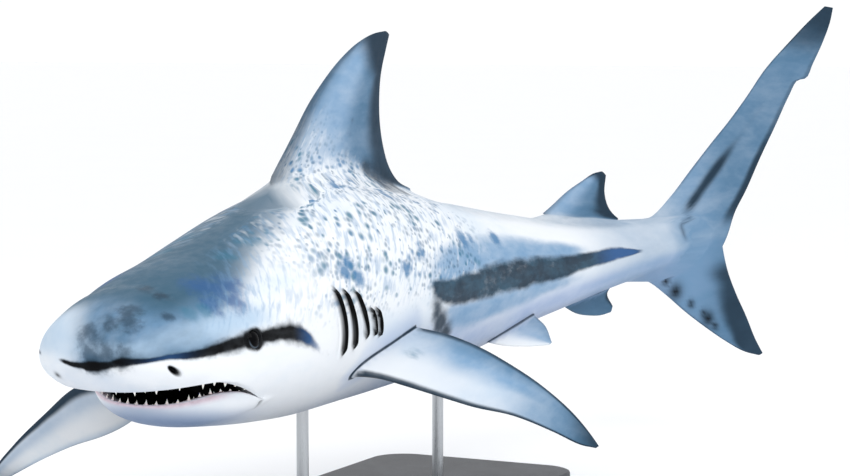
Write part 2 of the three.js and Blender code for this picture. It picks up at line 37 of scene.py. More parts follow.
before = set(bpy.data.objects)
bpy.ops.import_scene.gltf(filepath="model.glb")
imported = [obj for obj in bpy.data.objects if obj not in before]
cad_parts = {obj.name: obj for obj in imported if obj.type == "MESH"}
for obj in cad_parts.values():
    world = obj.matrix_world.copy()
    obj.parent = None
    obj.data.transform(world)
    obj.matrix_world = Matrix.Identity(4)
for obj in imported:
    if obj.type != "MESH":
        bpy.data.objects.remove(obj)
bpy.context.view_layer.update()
MM = 0.001

# ---- the animal's own dimensions, mm
AXIS_HEIGHT, STAND_ALONG, STAND_LEFT = 430, 870, 20
BEND_START, BEND_RADIUS = 700, 2660
BODY_END = 2050.0
# how often an interval is halved, and the places along the snout's rim
HALVINGS, RIM_STEPS = 34, 400

# along, top, bottom, half width, height of the widest line, upper and lower fullness
SECTIONS = [
    (0, -23, -23, 0, -23, 2.0, 2.0), (10, 15, -54, 69, -24, 2.1, 2.1),
    (37, 38, -79, 108, -30, 2.1, 2.2), (87, 59, -97, 133, -38, 2.1, 2.3),
    (124, 71, -106, 145, -44, 2.1, 2.2), (144, 75, -135, 149, -46, 2.1, 2.1),
    (164, 80, -150, 154, -48, 2.1, 2.1), (212, 94, -162, 164, -48, 2.1, 2.1),
    (300, 112, -174, 174, -45, 2.1, 2.1), (425, 145, -186, 185, -35, 2.1, 2.1),
    (562, 183, -193, 191, -20, 2.0, 2.1), (750, 210, -192, 193, -2, 2.0, 2.1),
    (950, 185, -186, 183, -7, 2.0, 2.1), (1200, 141, -160, 152, -14, 2.0, 2.0),
    (1400, 108, -124, 118, -12, 2.0, 2.0), (1600, 81, -89, 84, -4, 2.0, 2.0),
    (1750, 72, -60, 60, 7, 2.0, 2.0), (1862, 68, -42, 40, 14, 2.0, 2.0),
    (1950, 62, -24, 20, 19, 2.0, 2.0), (2010, 52, -4, 8, 24, 2.0, 2.0),
    (2050, 36, 20, 0, 28, 2.0, 2.0),
]

# Mouth: half ellipses in plan that close at the corners
CORNER = 290.0
CORNER_ANGLE = 123.0
UPPER_FRONT, UPPER_HALF = 108.0, 150.0
LOWER_FRONT, LOWER_HALF = 140.0, 151.0
# where the jaw's line joins the body's, and the depth of its wall
JAW_JOINS, JAW_WALL = 440.0, 46.0
# rise of the palate and drop of the floor, with where each starts, is full, fades and is gone
PALATE_RISE, FLOOR_DROP, SNOUT_SAG = 40.0, 26.0, 10.0
PALATE_SPAN, FLOOR_SPAN = (112, 165, 262, 325), (136, 180, 262, 325)
# the lips' step apart at the corner, the gums' height, and the lining's rows and innermost scale
LIP_STEP, GUM_HEIGHT = 4.0, 5.0
LINING_ROWS, LINING_REACH = 24, 0.12
UPPER_LINE = [(0, -72), (150, -72), (189, -77), (232, -90), (262, -104), (290, -118), (345, -124)]
LOWER_LINE = [(120, -114), (140, -114), (160, -108), (185, -98), (212, -93), (240, -95.5),
              (265, -106), (290, -118.3), (345, -124.3)]

EYE_AT, EYE_RADIUS, EYE_OPENING = (239, -13), 23.0, 15.0
SOCKET_DEEP, LID_HIGH, BROW_HIGH = 10, 2.6, 2.2
NOSTRIL_AT, NOSTRIL_LONG, NOSTRIL_WIDE, NOSTRIL_DEEP, NOSTRIL_SLANT = (66, -46), 17, 6, 10, 0.6
NOSTRIL_FOLD, FURROW_DEEP, NOTCH_AT, NOTCH_DEEP = 2.6, 3.2, 1792, 5
# top along, top height, bottom along, bottom height
GILLS = [(486, 52, 500, -74), (513, 46, 538, -67), (546, 41, 580, -53), (591, 6, 609, -50),
         (612, 4, 629, -53)]
GILL_BOW, GILL_DEEP, GILL_FLAP, GILL_REAR = 6.0, 9.0, 1.7, 0.8
GILL_TOP, GILL_TALL, GILL_REGION = 52, 130, (425, 480, 640, 700)
# along, how far the foot of the slit there lies behind its middle
GILL_SLANTS = [(493, 7.5), (526, 14), (563, 23), (600, 19), (621, 18)]
GILL_HALVES = (6.6, 6.4, 5.2, 4.6, 5.0)

# The body's grid, as (place, step there): round a section in degrees, and along in mm
COLUMN_STEPS = [(0, 3.2), (60, 2.6), (78, 1.25), (95, 1.25), (110, 1.6), (119, 1.0), (127, 1.0),
                (140, 2.0), (180, 3.0)]
SNOUT_STEPS = [(38.4, 2.8), (100, 2.8), (120, 3.4), (200, 3.2), (207, 2.1), (260, 2.1), (290, 2.6)]
AFT_STEPS = [(290, 2.2), (310, 2.6), (350, 3.8), (440, 6.5), (455, 4.5), (470, 2.4), (640, 2.4),
             (660, 5), (710, 10), (1700, 11), (2000, 8), (2049.4, 3.5)]

# Fins: front and rear margins, greatest and tip thickness, how far the root is sunk
FIRST_DORSAL = dict(
    lead=[(536, 178), (581, 210), (620, 246), (679, 300), (726, 344), (783, 387), (846, 427),
          (912, 458), (965, 473), (1000, 477)],
    trail=[(1150, 148), (1091, 174), (1042, 193), (1011, 223), (993, 259), (982, 300), (979, 348),
           (985, 396), (1003, 444), (1014, 470)],
    thickness=44, tip=4, sink=-50, flare=0.8)
SECOND_DORSAL = dict(
    lead=[(1490, 88), (1545, 116), (1598, 146), (1640, 164), (1680, 180), (1703, 183)],
    trail=[(1796, 68), (1765, 76), (1743, 88), (1724, 106), (1712, 138), (1716, 174)],
    thickness=16, tip=3, sink=-40, flare=0.3)
ANAL = dict(
    lead=[(1578, -90), (1630, -114), (1670, -121), (1704, -123), (1733, -119)],
    trail=[(1786, -45), (1760, -52), (1737, -62), (1723, -77), (1740, -106)],
    thickness=13, tip=3, sink=40, flare=0.3)
TAIL_UPPER = dict(
    lead=[(1740, 0), (1780, 60), (1858, 80), (1912, 120), (1970, 175), (2028, 230), (2085, 283),
          (2130, 330), (2185, 393), (2255, 455), (2312, 503), (2352, 533)],
    trail=[(2068, 4), (2078, 20), (2105, 82), (2132, 122), (2175, 198), (2217, 268), (2257, 338),
           (2277, 367), (2303, 373), (2320, 403), (2348, 453), (2369, 503), (2375, 530)],
    thickness=24, tip=4)
TAIL_LOWER = dict(
    lead=[(1740, 0), (1780, -40), (1855, -64), (1900, -92), (1960, -134), (2020, -172),
          (2080, -207), (2140, -236), (2178, -246)],
    trail=[(2068, 4), (2072, -12), (2084, -50), (2108, -100), (2140, -155), (2170, -212),
           (2190, -242)],
    thickness=24, tip=4)
PECTORAL = dict(
    lead=[(-60, -12), (0, 0), (90, 1), (190, 38), (290, 110), (370, 168), (430, 216), (458, 247)],
    trail=[(-60, 150), (0, 170), (45, 198), (72, 209), (100, 194), (160, 186), (240, 192),
           (325, 214), (400, 238), (462, 256)],
    thickness=30, tip=4)
PELVIC = dict(
    lead=[(-40, -34), (0, -24), (40, 0), (80, 50), (105, 95)],
    trail=[(-40, 120), (0, 150), (18, 158), (34, 143), (66, 136), (105, 107)],
    thickness=14, tip=3)
SPINE_SWEEP, TWIST_SPAN, CURL_SPAN = 0.5, 240.0, 400.0
# shape, root, side (+1 the animal's left), then in degrees sweep, droop, extra droop at the tip and
# twist at root and tip; last the rows along the span and the steps along the chord
PAIRED = {
    "pectoral_left": (PECTORAL, (578, 172, -112), 1, 22, -7.5, 45, (20, 31), (58, 34)),
    "pectoral_right": (PECTORAL, (578, 172, -112), -1, -26, 20, 7, (5, -42), (50, 28)),
    "pelvic_left": (PELVIC, (1231, 70, -113), 1, 8, 24, 0, (16, 16), (24, 18)),
    "pelvic_right": (PELVIC, (1231, 70, -113), -1, 8, 24, 0, (16, 16), (16, 14)),
}
MIDDLE = {"first_dorsal": (FIRST_DORSAL, 46, 34), "second_dorsal": (SECOND_DORSAL, 18, 16),
          "anal": (ANAL, 16, 14)}
TAIL_ROWS, TAIL_STEPS = 90, 26
FLESH_NODES = ("head", "lower_jaw", "trunk", "tail_stock", "first_dorsal_fin",
               "second_dorsal_fin", "anal_fin", "pectoral_fin_left", "pectoral_fin_right",
               "pelvic_fin_left", "pelvic_fin_right", "caudal_fin_upper", "caudal_fin_lower")


# ---- small maths
def mix(a, b, t):
    """a + (b - a) t."""
    return a + (b - a) * t


def smooth(x, low, high):
    """3t^2 - 2t^3 with t = (x - low) / (high - low) held between 0 and 1."""
    t = np.clip((x - low) / (high - low), 0, 1)
    return t * t * (3 - 2 * t)


def bell(x, centre, width):
    """exp(-((x - centre) / width)^2)."""
    return np.exp(-((x - centre) / width) ** 2)


def between(x, start, full, fading, gone):
    """Smoothstep up from start to full, times one minus smoothstep from fading to gone."""
    return smooth(x, start, full) * (1 - smooth(x, fading, gone))


def halve(low, high, above, rounds=HALVINGS):
    """Where above(place) turns from true to false between low and high, by halving the interval."""
    for _ in range(rounds):
        middle = (low + high) / 2
        up = above(middle)
        low, high = np.where(up, middle, low), np.where(up, high, middle)
    return low


def cubic(knots, keep_order):
    """Cubic through (x, y) knots: t = place in the step, y = the Hermite mix of both ends. Slopes are
    weighted harmonic means of the neighbours (no overshoot) or their distance-weighted average."""
    xs, ys = np.array(knots, float).T
    step = np.diff(xs)
    rise = np.diff(ys) / step
    before, after = rise[:-1], rise[1:]
    if keep_order:
        same = before * after > 0
        a, b = 2 * step[1:] + step[:-1], step[1:] + 2 * step[:-1]
        safe_before, safe_after = np.where(same, before, 1), np.where(same, after, 1)
        inner = np.where(same, (a + b) / (a / safe_before + b / safe_after), 0)
    else:
        inner = (step[1:] * before + step[:-1] * after) / (step[:-1] + step[1:])
    slope = np.concatenate([rise[:1], inner, rise[-1:]])

    def at(x):
        x = np.asarray(x, float)
        i = np.clip(np.searchsorted(xs, x, side="right") - 1, 0, len(step) - 1)
        t = (x - xs[i]) / step[i]
        return ((1 + 2 * t) * (1 - t) ** 2 * ys[i] + t * (1 - t) ** 2 * step[i] * slope[i]
                + t * t * (3 - 2 * t) * ys[i + 1] + t * t * (t - 1) * step[i] * slope[i + 1])
    return at


def outline(points):
    """Plan line through points: both coordinates are cubics of the distance run, t from 0 to 1."""
    points = np.array(points, float)
    run = np.concatenate([[0], np.cumsum(np.hypot(*np.diff(points, axis=0).T))])
    first, second = (cubic(np.c_[run, points[:, k]], False) for k in (0, 1))
    return lambda t: (first(t * run[-1]), second(t * run[-1]))


def place(points):
    """Straight space (along, left, height) in mm to the frame in metres: beyond the shoulders the body
    follows an arc, turn = (along - start) / radius, and the whole is lifted over the stand."""
    along, left, height = np.moveaxis(np.asarray(points, float), -1, 0)
    turn = np.maximum(along - BEND_START, 0) / BEND_RADIUS
    forward = np.minimum(along, BEND_START) + BEND_RADIUS * np.sin(turn)
    sideways = BEND_RADIUS * (1 - np.cos(turn))
    return MM * np.stack([forward - left * np.sin(turn) - STAND_ALONG,
                          STAND_LEFT - (sideways + left * np.cos(turn)),
                          height + AXIS_HEIGHT], -1)


# ---- the body's surface
section_curves = [cubic([(row[0] ** 0.5, row[k]) for row in SECTIONS], True) for k in range(1, 7)]
upper_line = cubic(UPPER_LINE, True)
lower_line = cubic(LOWER_LINE, True)


def skin_at(along, angle):
    """Cross-sections are superellipses: left = half sin^(2/n), height = widest + reach cos^(2/n), with
    n and reach taken from the upper or the lower half. Angle 0 is the back and pi the belly."""
    top, bottom, half, widest, upper, lower = (at(np.sqrt(along)) for at in section_curves)
    sine, cosine = np.sin(angle), np.cos(angle)
    power = 2 / np.where(cosine >= 0, upper, lower)
    reach = np.where(cosine >= 0, top - widest, widest - bottom)
    return np.stack([along + 0 * angle, half * np.sign(sine) * np.abs(sine) ** power,
                     widest + reach * np.sign(cosine) * np.abs(cosine) ** power], -1)


def angle_at(along, height):
    """The angle at which the left side of a section is at a height."""
    low = np.zeros(np.shape(along))
    return halve(low, low + np.pi, lambda angle: skin_at(along, angle)[..., 2] > height)


def inside_arch(front, half, along, left):
    """1 - (|left| / arch)^2, where the arch's half width is half sqrt(1 - (1 - t)^2) and t runs from 0
    at its front to 1 at the corner."""
    t = np.clip((along - front) / (CORNER - front), 0, 1)
    arch = half * np.sqrt(1 - (1 - t) ** 2)
    return 1 - np.minimum(np.abs(left) / np.maximum(arch, 1), 1) ** 2


def roof(along, left):
    """Underside of the snout and palate: the upper line, sagging in the middle, with a domed rise."""
    dome = inside_arch(UPPER_FRONT, UPPER_HALF, along, left) * between(along, *PALATE_SPAN)
    sag = (1 - np.minimum(np.abs(left) / UPPER_HALF, 1) ** 2) * (1 - smooth(along, 100, 190))
    return upper_line(along) - SNOUT_SAG * sag + PALATE_RISE * dome


def mouth_floor(along, left):
    """Floor of the mouth: the lower line with a domed drop."""
    dome = inside_arch(LOWER_FRONT, LOWER_HALF, along, left) * between(along, *FLOOR_SPAN)
    return lower_line(along) - FLOOR_DROP * dome


def spread(stops):
    """Values whose spacing changes smoothly: stops are (value, spacing there)."""
    stops = np.array(stops, float)
    grid = np.linspace(stops[0, 0], stops[-1, 0], 6000)
    density = 1 / np.interp(grid, stops[:, 0], stops[:, 1])
    run = np.concatenate([[0], np.cumsum((density[1:] + density[:-1]) / 2 * np.diff(grid))])
    count = int(round(run[-1]))
    return np.interp(np.linspace(0, run[-1], count + 1), run, grid)


def relax(points, weight, rounds):
    """Moves each grid point towards the mean of its four neighbours by its weight, round after round.
    Rows end where the grid ends, and columns run round the ring."""
    for _ in range(rounds):
        ahead = np.concatenate([points[1:], points[-1:]])
        behind = np.concatenate([points[:1], points[:-1]])
        mean = (ahead + behind + np.roll(points, 1, 1) + np.roll(points, -1, 1)) / 4
        points = points + (mean - points) * weight[..., None]
    return points


def grid_normals(points):
    """Unit normals of a grid of rows and closed rings: the cross product of its two differences."""
    down = np.gradient(points, axis=0)
    round_ = np.roll(points, -1, 1) - np.roll(points, 1, 1)
    normal = np.cross(round_, down)
    return normal / np.maximum(np.linalg.norm(normal, axis=-1, keepdims=True), 1e-9)


def snout_rim():
    """The line where the side of the snout meets its flat underside, for distances along from its front
    to the corner: the angle round the section, and the bearing seen from between the corners,
    atan(((corner - along) / arch length) / (left / arch half width))."""
    start = halve(20.0, 90.0, lambda along: skin_at(along, np.pi)[2] > roof(along, 0.0), 40)
    along = np.linspace(start, CORNER, RIM_STEPS)

    def above(angle):
        point = skin_at(along, angle)
        return point[:, 2] > roof(along, point[:, 1])

    angle = halve(np.full(RIM_STEPS, np.pi / 2), np.full(RIM_STEPS, np.pi), above)
    left = skin_at(along, angle)[:, 1]
    bearing = np.arctan2((CORNER - along) / (CORNER - UPPER_FRONT), left / UPPER_HALF)
    angle[0], bearing[0], bearing[-1] = np.pi, np.pi / 2, 0.0
    return along, angle, bearing


def arch_point(front, half, height, bearing, scale):
    """A point seen from between the corners: along = corner - length scale sin(bearing) and left = half
    scale cos(bearing), pulled towards the corner so that both lips fan out of it."""
    step = LIP_STEP if front == LOWER_FRONT else -LIP_STEP
    along = CORNER - (CORNER - front) * scale * np.sin(bearing)
    along = along + step * (1 - np.sin(bearing)) * scale ** 3
    left = half * scale * np.cos(bearing)
    return np.stack([along, left, height(along, left)], -1)


def gill_rows(along, angle):
    """Leans the rows over the gills to the slits' own slant and bow: a shift of along that goes from
    forward at the top of the slits to aft at their foot."""
    height = skin_at(along, angle)[..., 2]
    down = (GILL_TOP - height) / GILL_TALL
    held = np.clip(down, 0, 1)
    slant = np.interp(along, *np.array(GILL_SLANTS).T)
    lean = mix(-slant, slant, held) + GILL_BOW * np.sin(np.pi * held)
    return along + lean * between(down, -0.9, 0, 1, 1.9) * between(along, *GILL_REGION)


def half_body():
    """Left half of the body as a grid of rows (snout to tail) by columns (back to belly).

    Rows ahead of the mouth run down the cheek and cross the snout's underside on the crescent between
    its rim and the upper lip: share = (row - row at the rim) / (corner - row at the rim), distance from
    the mouth's middle = mix(rim, lip, share). Then come the rows of the mouth's lining, in from the
    upper lip, round the throat and out to the lower lip. The rows behind start on the lower lip at
    along = mix(row, chin line, sin bearing) and meet the plain section over the jaw's own height."""
    phi = spread(COLUMN_STEPS)
    phi[np.argmin(np.abs(phi - CORNER_ANGLE))] = CORNER_ANGLE
    below = np.clip((phi - CORNER_ANGLE) / (180 - CORNER_ANGLE), 0, 1)
    bearing = below * np.pi / 2
    swing = np.degrees(bearing)
    under = phi >= CORNER_ANGLE
    rim_along, rim_angle, rim_bearing = snout_rim()

    # ahead of the mouth: close rows round the tip, at squares of whole steps, and then even ones
    tip_rows = (np.arange(1, 31) * 0.2) ** 2
    ahead = np.concatenate([tip_rows, spread(SNOUT_STEPS)[:-1]])[:, None]
    rim = np.interp(ahead, rim_along, rim_angle)
    rim = np.where(ahead < rim_along[0], np.pi, rim)
    edge = np.minimum(rim, np.radians(CORNER_ANGLE))
    cheek_angle = np.radians(phi) * edge / np.radians(CORNER_ANGLE)
    angle = np.where(under, mix(edge, np.pi, below), cheek_angle)
    side = skin_at(ahead - LIP_STEP * smooth(ahead, 230, CORNER), angle)
    share_under = np.clip((angle - rim) / np.maximum(np.pi - rim, 1e-9), 0, 1)
    start = np.interp(ahead, rim_along, rim_bearing)
    at_bearing = mix(start, np.pi / 2, share_under)
    row_at_rim = np.interp(at_bearing, rim_bearing[::-1], rim_along[::-1])
    rim_left = np.interp(row_at_rim, rim_along, skin_at(rim_along, rim_angle)[:, 1])
    rim_scale = np.hypot((CORNER - row_at_rim) / (CORNER - UPPER_FRONT), rim_left / UPPER_HALF)
    share = np.clip((ahead - row_at_rim) / np.maximum(CORNER - row_at_rim, 1e-9), 0, 1)
    scale = mix(rim_scale, 1, share)
    crescent = arch_point(UPPER_FRONT, UPPER_HALF, roof, at_bearing, scale)
    front = np.where((angle > rim)[..., None], crescent, side)

    # the mouth's lining
    k = (np.arange(LINING_ROWS) / (LINING_ROWS - 1))[:, None]
    inward = (1 - np.abs(1 - 2 * k)) ** 1.5
    reach = 1 - (1 - LINING_REACH) * smooth(swing, 0, 34)
    scale = 1 - (1 - reach) * inward
    upper = arch_point(UPPER_FRONT, UPPER_HALF, roof, bearing + 0 * k, scale)
    lower = arch_point(LOWER_FRONT, LOWER_HALF, mouth_floor, bearing + 0 * k, scale)
    gum = GUM_HEIGHT * bell(scale, 0.93, 0.03) * smooth(swing, 6, 25)
    upper[..., 2] -= gum
    lower[..., 2] += gum
    lining = mix(upper, lower, smooth(k, 0.4, 0.6)[..., None])
    cheek = skin_at(CORNER + LIP_STEP * (2 * k - 1), np.radians(phi) + 0 * k)
    lining = np.where(under[:, None], lining, cheek)
    # painted shade deep in the mouth, away from the lips
    cavity = np.where(under, 1 - smooth(scale, 0.82, 0.97), 0) * smooth(swing, 0, 5)
    gums = np.where(under, bell(scale, 0.955, 0.035), 0) * smooth(swing, 4, 16)

    # behind the mouth
    behind = spread(AFT_STEPS)[1:, None]
    level = behind + LIP_STEP * (1 - smooth(behind, 290, 350))
    chin = behind - (CORNER - LOWER_FRONT) * (1 - smooth(behind, CORNER, JAW_JOINS))
    along = mix(level, chin, np.sin(bearing))
    along = gill_rows(along, np.radians(phi) + 0 * behind)
    aft = skin_at(np.minimum(along, BODY_END - 0.4), np.radians(phi) + 0 * behind)
    lip = arch_point(LOWER_FRONT, LOWER_HALF, mouth_floor, bearing, np.ones_like(bearing))
    w = np.clip((behind - CORNER) / JAW_WALL, 0, 1)
    wall = np.stack([mix(lip[:, 0] + (along - along[:1]), aft[..., 0], w),
                     mix(lip[:, 1], aft[..., 1], w * w),
                     mix(lip[:, 2], aft[..., 2], 1 - (1 - w) ** 2.2)], -1)
    aft = np.where(under[:, None] & (w < 1)[..., None], wall, aft)

    points = np.concatenate([front, lining, aft])
    empty_front, empty_aft = np.zeros(front.shape[:2]), np.zeros(aft.shape[:2])
    lip_gum = 0.85 * (1 - smooth(behind, 293, 299)) * smooth(swing, 22, 42) * under
    cavity = np.concatenate([empty_front, cavity, empty_aft])
    gums = np.concatenate([empty_front, gums, lip_gum])
    return points, phi, cavity, gums, len(ahead)


def both_sides(half):
    """Closes the half grid into full rings: the inner columns again, in reverse and mirrored."""
    mirrored = half[:, -2:0:-1]
    if half.ndim == 3:
        mirrored = mirrored * (1, -1, 1)
    return np.concatenate([half, mirrored], 1)


def near_frame(along, height):
    """A point of the left skin with its outward normal and the direction aft."""
    angle = angle_at(along, height)
    point = skin_at(along, angle)
    aft = skin_at(along + 4, angle_at(along + 4, height)) - point
    aft /= np.linalg.norm(aft)
    round_ = skin_at(along, angle + 0.02) - point
    normal = np.cross(aft, round_)
    normal *= np.sign(normal[1]) / np.linalg.norm(normal)
    return point, normal, aft


def local(points, frame_here):
    """Coordinates of points about a place on the skin: aft, up along the skin and outward."""
    point, normal, aft = frame_here
    up = np.cross(normal, aft)
    up *= np.sign(up[2])
    delta = points - point
    return delta @ aft, delta @ up, delta @ normal


def sculpt(points, cavity):
    """Eye sockets with raised lids, nostrils with their flap, gill slits, the furrow at the mouth's
    corner and the notches before the tail, each a height added along the normal, and painted shade
    in the sockets, nostrils, slits and furrow. Both sides alike."""
    side = np.where(points[..., 1:2] < 0, -1.0, 1.0)
    flip = np.concatenate([np.ones_like(side), side, np.ones_like(side)], -1)
    near = points * flip
    normals = grid_normals(points) * flip
    change = np.zeros_like(points)
    along, left, height = np.moveaxis(near, -1, 0)

    # eye: the skin dips under the ball inside the opening, and its rim stands up round it
    here = near_frame(*EYE_AT)
    a, b, off = local(near, here)
    radius = np.hypot(a, b)
    close = (np.abs(off) < 30) & (radius < 60)
    tilt = np.divide(b, radius, out=np.zeros_like(b), where=radius > 1)
    socket = 1 - smooth(radius, 9, EYE_OPENING + 0.6)
    brow = BROW_HIGH * bell(radius, 22, 9) * np.clip(tilt, 0, 1)
    lid = LID_HIGH * bell(radius, 17.5, 2.8)
    lift = -SOCKET_DEEP * socket + lid - 1.1 * bell(radius, 23, 2.6) + brow
    change += np.where(close, lift, 0)[..., None] * here[1]
    cavity = np.maximum(cavity, np.where(close, 1 - smooth(radius, 12, 14.8), 0))

    # nostril: a slanting groove with a fold over its front
    here = near_frame(*NOSTRIL_AT)
    a, b, off = local(near, here)
    cos, sin = np.cos(NOSTRIL_SLANT), np.sin(NOSTRIL_SLANT)
    a, b = a * cos - b * sin, a * sin + b * cos
    reach = np.hypot(a / NOSTRIL_LONG, b / NOSTRIL_WIDE)
    close = np.abs(off) < 25
    fold = np.hypot((a + 1) / 11, (b - 7) / 4.5)
    lift = -NOSTRIL_DEEP * (1 - smooth(reach, 0.3, 1.2)) + NOSTRIL_FOLD * np.exp(-fold ** 2)
    change += np.where(close, lift, 0)[..., None] * here[1]
    cavity = np.maximum(cavity, np.where(close, 1 - smooth(reach, 0.6, 1.1), 0))

    # gill slits: a groove with a swollen flap before it
    for (top, high, foot, low), half in zip(GILLS, GILL_HALVES):
        down = (high - height) / (high - low)
        centre = mix(top, foot, down) + GILL_BOW * np.sin(np.pi * np.clip(down, 0, 1))
        d = along - centre
        ends = between(down, -0.03, 0.16, 0.84, 1.03) * (left > 40)
        groove = np.exp(-np.abs(d / half) ** 2.6) * ends
        flaps = GILL_FLAP * bell(d, -10.5, 6.5) + GILL_REAR * bell(d, 8.5, 4)
        change += (flaps * ends - GILL_DEEP * groove)[..., None] * normals
        cavity = np.maximum(cavity, smooth(groove, 0.12, 0.5))

    # furrow from the mouth's corner, down and aft
    here = near_frame(CORNER + 1, -120)
    a, b, off = local(near, here)
    run = np.clip(-b / 20, 0, 1)
    furrow = bell(np.hypot(a - 5 * run, b + 20 * run), 0, 3.4) * (1 - 0.6 * run)
    furrow = np.where(np.abs(off) < 20, furrow, 0)
    change -= FURROW_DEEP * furrow[..., None] * here[1]
    cavity = np.maximum(cavity, 0.8 * furrow)

    # notches in the back and the belly just before the tail fin
    notch = NOTCH_DEEP * bell(along, NOTCH_AT, 11) * bell(left, 0, 22)
    change[..., 2] += notch * np.where(height > 10, -1, 0.7)
    return points + change * flip, cavity


def closed_shell(rings, first, last):
    """Rings (rows, places, 3) closed at both ends by a fan to one point: vertices, quads, triangles."""
    rows, count = rings.shape[:2]
    vertices = np.concatenate([rings.reshape(-1, 3), [first, last]])
    row = np.arange(rows - 1)[:, None] * count
    ring, turned = np.arange(count), (np.arange(count) + 1) % count
    quads = np.stack([row + ring, row + turned, row + count + turned, row + count + ring], -1)
    aft, hub = (rows - 1) * count, np.full(count, rows * count)
    fans = [np.c_[hub, turned, ring], np.c_[hub + 1, aft + ring, aft + turned]]
    return vertices, quads.reshape(-1, 4), np.concatenate(fans)


def body_shell():
    """The whole body: rows of rings closed by a point at the snout and one at the tail, as vertices,
    faces and masks. The lips and the snout's rim are rounded first, by a weight for each point."""
    half, phi, cavity, gums, corner_row = half_body()
    points, cavity, gums = both_sides(half), both_sides(cavity), both_sides(gums)
    row = np.arange(len(points))[:, None]
    ring_phi = np.concatenate([phi, phi[-2:0:-1]])[None]
    last = corner_row + LINING_ROWS
    rim = 0.9 * between(row, 8, 40, corner_row - 2, corner_row + 3) * bell(ring_phi, CORNER_ANGLE, 9)
    lips = 0.75 * (bell(row, corner_row, 3.0) + bell(row, last, 3.0)) * smooth(ring_phi, 118, 124)
    furrow = 0.5 * between(row, last - 2, last + 2, last + 18, last + 34) * smooth(ring_phi, 112, 122)
    gentle = 0.35 * ((row > corner_row - 4) & (row < last + 4)) * smooth(ring_phi, 116, 123)
    weight = np.clip(rim + lips + furrow + gentle, 0, 0.9)
    points, cavity = sculpt(relax(points, weight, 9), cavity)
    tip, end = ((section[0], 0, section[4]) for section in (SECTIONS[0], SECTIONS[-1]))
    masks = {"cavity": np.append(cavity.ravel(), [0, 0]), "gums": np.append(gums.ravel(), [0, 0])}
    return *closed_shell(points, tip, end), masks


# ---- fins
def foil(chord):
    """Half thickness of a fin one unit thick at a fraction of its chord: the usual streamlined section,
    5 (0.2969 sqrt c - 0.126 c - 0.3516 c^2 + 0.2843 c^3 - 0.1015 c^4)."""
    return 5 * (0.2969 * np.sqrt(chord) - 0.126 * chord - 0.3516 * chord ** 2
                + 0.2843 * chord ** 3 - 0.1015 * chord ** 4)


def fin_sections(shapes, span_steps, chord_steps, flare=0.0):
    """Sections of a fin from tip to tip or root to tip: each goes from the front margin over one face to
    the rear margin and back over the other. Returns (first, second, off), the chord and the span."""
    chord = np.sin(np.linspace(0, np.pi / 2, chord_steps + 1)) ** 2
    chord = mix(chord, np.linspace(0, 1, chord_steps + 1), 0.45)
    loop = np.concatenate([chord, chord[-1:0:-1]])
    side = np.concatenate([np.ones(chord_steps + 1), -np.ones(chord_steps)])
    side[0] = 0
    blocks = []
    for shape, t in zip(shapes, span_steps):
        front, rear = outline(shape["lead"])(t), outline(shape["trail"])(t)
        thick = mix(shape["thickness"], shape["tip"], t ** 0.85) * (1 + flare * np.exp(-t / 0.1))
        first, second = (mix(front[k][:, None], rear[k][:, None], loop[None]) for k in (0, 1))
        off = side * (thick[:, None] * foil(loop)[None] + 0.35)
        blocks.append(np.stack([first, second, off, np.broadcast_to(loop, off.shape),
                                np.broadcast_to(t[:, None], off.shape)], -1))
    return np.concatenate(blocks)


def fin_shell(sections, straight):
    """Closes the sections into a shell, ends included. The ends are flat fans about their own middle."""
    chord = np.append(sections[..., 3].ravel(), [0.5, 0.5])
    span = np.append(sections[..., 4].ravel(), [sections[0, 0, 4], sections[-1, 0, 4]])
    shell = closed_shell(straight, straight[0].mean(0), straight[-1].mean(0))
    return *shell, {"chord": chord, "span": span}


def span_steps(rows):
    """Steps along a fin's span that close up towards the tip."""
    t = np.linspace(0, 1, rows)
    return mix(t, np.sin(t * np.pi / 2), 0.4)


def middle_fin(shape, span_rows, chord_steps):
    """A fin on the middle plane, its root row sunk into the body."""
    sections = fin_sections([shape], [span_steps(span_rows)], chord_steps, flare=shape["flare"])
    straight = sections[..., [0, 2, 1]]
    root = straight[:1] + (0, 0, shape["sink"])
    return fin_shell(np.concatenate([sections[:1], sections]), np.concatenate([root, straight]))


def tail_fin(span_rows, chord_steps):
    """Both lobes as one blade, from the lower tip through the tail's root to the upper tip."""
    lower = 1 - np.linspace(0, 1, span_rows * 2 // 5)[:-1] ** 1.15
    upper = np.linspace(0, 1, span_rows * 3 // 5) ** 0.95
    sections = fin_sections([TAIL_LOWER, TAIL_UPPER], [lower, upper], chord_steps, flare=0.7)
    return fin_shell(sections, sections[..., [0, 2, 1]])


def paired_fin(name):
    """A fin laid out by its pose. Seen from its root, out and back are turned about a spine that goes
    back half a millimetre per millimetre out (the twist), swept in plan, and lowered by an angle that
    grows with the reach (droop and curl)."""
    shape, root, side, sweep, droop, curl, twist, (span_rows, chord_steps) = PAIRED[name]
    sections = fin_sections([shape], [span_steps(span_rows)], chord_steps, flare=0.2)
    out, back, off = np.moveaxis(sections[..., :3], -1, 0)
    pitch = np.radians(mix(*twist, smooth(out, 0, TWIST_SPAN)))
    spine = SPINE_SWEEP * np.maximum(out, 0)
    lift = (back - spine) * np.sin(pitch) + off * np.cos(pitch)
    aft = spine + (back - spine) * np.cos(pitch) - off * np.sin(pitch)
    turn = np.radians(sweep)
    reach = out * np.cos(turn) - aft * np.sin(turn)
    fall = np.radians(droop + curl * np.maximum(reach, 0) / CURL_SPAN)
    straight = np.stack([root[0] + out * np.sin(turn) + aft * np.cos(turn),
                         side * (root[1] + reach * np.cos(fall) + lift * np.sin(fall)),
                         root[2] - reach * np.sin(fall) + lift * np.cos(fall)], -1)
    return fin_shell(sections, straight)


# ---- meshes
# rounds of mending corners, of naming creases and of measuring from them, and a distance beyond them all
MEND_ROUNDS, NAME_ROUNDS, REACH_ROUNDS, FAR = 8, 60, 24, 9000.0


